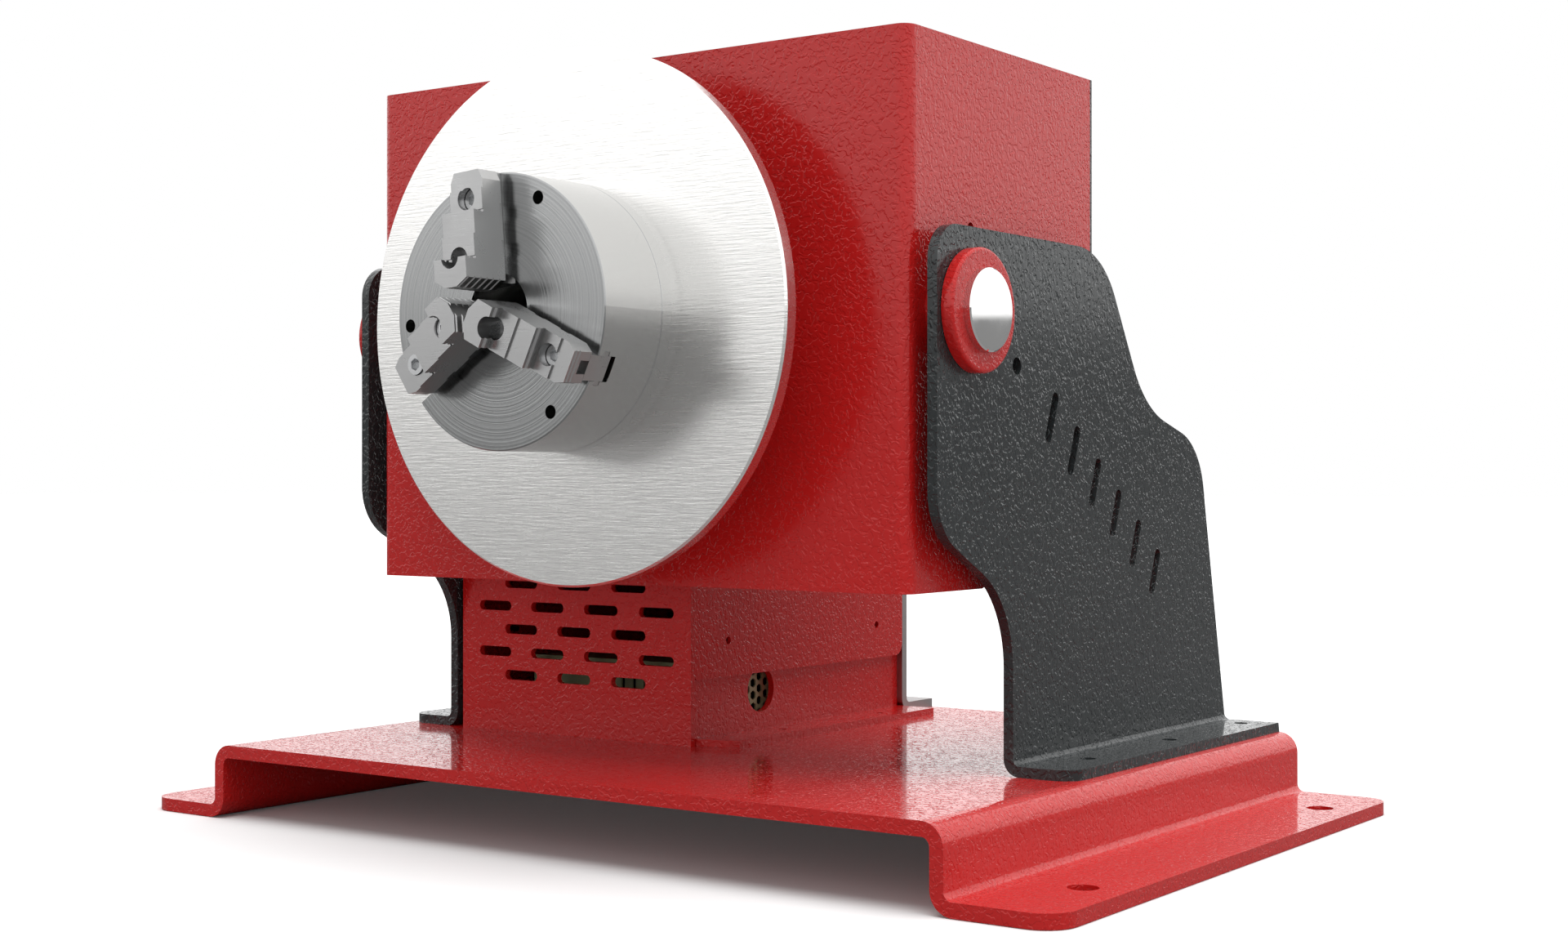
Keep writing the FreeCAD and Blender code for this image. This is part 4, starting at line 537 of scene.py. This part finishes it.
# ------------------------------------------------------------------ floor, light and camera
def studio_floor():
    """A pale floor. A camera ray sees it white with the object's shadow, and other rays see it mid grey. It
    glows a little away from the base, so that only the contact shadow is left."""
    half, below = 15.0, 0.3 * MM
    matt_grey, mirrored_grey, white = 0.35, 0.28, 0.92
    shadow_start, shadow_end, glow_near, glow_far = 20 * MM, 220 * MM, 0.03, 0.25
    mesh = bpy.data.meshes.new("studio_floor")
    corners = [(-half, -half), (half, -half), (half, half), (-half, half)]
    mesh.from_pydata([(x, y, -below) for x, y in corners], [], [(0, 1, 2, 3)])
    floor = bpy.data.objects.new("studio_floor", mesh)
    bpy.context.scene.collection.objects.link(floor)
    made = bpy.data.materials.new("Pale studio floor")
    made.use_nodes = True
    tree = made.node_tree
    tree.nodes.clear()
    ray = add(tree, "ShaderNodeLightPath")
    mirrored = add(tree, "ShaderNodeMix",
                   {"Factor": ray.outputs["Is Glossy Ray"], 6: grey_level(matt_grey),
                    7: grey_level(mirrored_grey)}, data_type="RGBA")
    grey = add(tree, "ShaderNodeBsdfDiffuse", {"Color": mirrored.outputs[2]})
    pale = add(tree, "ShaderNodeBsdfDiffuse", {"Color": grey_level(white)})
    place = add(tree, "ShaderNodeTexCoord")
    apart = add(tree, "ShaderNodeVectorMath", {0: place.outputs["Object"]}, operation="ABSOLUTE")
    beyond = add(tree, "ShaderNodeVectorMath",
                 {0: apart.outputs["Vector"], 1: (base_corner.x, base_corner.y, 0)}, operation="SUBTRACT")
    sides = add(tree, "ShaderNodeSeparateXYZ", {"Vector": beyond.outputs["Vector"]})
    distance = add(tree, "ShaderNodeMath", {0: sides.outputs["X"], 1: sides.outputs["Y"]}, operation="MAXIMUM")
    glow = add(tree, "ShaderNodeMapRange",
               {"Value": distance.outputs[0], "From Min": shadow_start, "From Max": shadow_end,
                "To Min": glow_near, "To Max": glow_far}, interpolation_type="SMOOTHSTEP")
    lift = add(tree, "ShaderNodeEmission", {"Color": grey_level(1.0), "Strength": glow.outputs["Result"]})
    seen = add(tree, "ShaderNodeAddShader", {0: pale.outputs[0], 1: lift.outputs[0]})
    both = add(tree, "ShaderNodeMixShader",
               {0: ray.outputs["Is Camera Ray"], 1: grey.outputs[0], 2: seen.outputs[0]})
    add(tree, "ShaderNodeOutputMaterial", {"Surface": both.outputs[0]})
    mesh.materials.append(made)


def studio_world():
    """A white room. Metal and glass see white walls above a grey floor line, and matt surfaces see walls that
    are brightest at the floor and dim overhead, where the lamp lights them."""
    floor_line, line_blur, floor_mirror, wall_mirror = 0.072, 0.0015, 0.3, 1.5
    wall_light, zenith_light = 0.85, 0.2
    world = bpy.data.worlds.new("Studio")
    bpy.context.scene.world = world
    world.use_nodes = True
    world.cycles.sampling_method = "NONE"
    tree = world.node_tree
    tree.nodes.clear()
    ray = add(tree, "ShaderNodeLightPath")
    way = add(tree, "ShaderNodeTexCoord")
    axes = add(tree, "ShaderNodeSeparateXYZ", {"Vector": way.outputs["Generated"]})
    wall = add(tree, "ShaderNodeMapRange",
               {"Value": axes.outputs["Z"], "From Min": floor_line - line_blur,
                "From Max": floor_line + line_blur, "To Min": floor_mirror, "To Max": wall_mirror})
    mirror = add(tree, "ShaderNodeMath",
                 {0: ray.outputs["Is Glossy Ray"], 1: ray.outputs["Is Transmission Ray"]}, operation="MAXIMUM")
    dim = add(tree, "ShaderNodeMapRange",
              {"Value": axes.outputs["Z"], "To Min": wall_light, "To Max": zenith_light})
    sky = add(tree, "ShaderNodeMix",
              {"Factor": mirror.outputs[0], 2: dim.outputs["Result"], 3: wall.outputs["Result"]})
    strength = add(tree, "ShaderNodeMix",
                   {"Factor": ray.outputs["Is Camera Ray"], 2: sky.outputs[0], 3: 1.0})
    shown = add(tree, "ShaderNodeBackground", {"Color": grey_level(1.0), "Strength": strength.outputs[0]})
    add(tree, "ShaderNodeOutputWorld", {"Surface": shown.outputs[0]})


def overhead_light(name, direction, spread, level):
    """A broad far lamp that lights a face towards it at the given level, where 1 shows a colour as it is."""
    lamp = bpy.data.lights.new(name, "SUN")
    lamp.angle = math.radians(spread)
    lamp.energy = level * math.pi
    holder = bpy.data.objects.new(name, lamp)
    bpy.context.scene.collection.objects.link(holder)
    holder.visible_glossy = False
    holder.rotation_mode = "QUATERNION"
    holder.rotation_quaternion = Vector(direction).to_track_quat("Z", "Y")


studio_floor()
studio_world()
overhead_light("ceiling_light", direction=(0.2, -0.05, 0.98), spread=60, level=0.9)

lens = bpy.data.cameras.new("camera")
lens.sensor_width = 36.0
lens.lens = 49.71
camera = bpy.data.objects.new("camera", lens)
bpy.context.scene.collection.objects.link(camera)
camera.location = (0.6652, -0.9294, 0.1769)
camera.rotation_mode = "QUATERNION"
camera.rotation_quaternion = Vector((-0.57753, 0.81637, 0.00153)).to_track_quat("-Z", "Y")
bpy.context.scene.camera = camera
bpy.context.scene.view_settings.view_transform = "Standard"
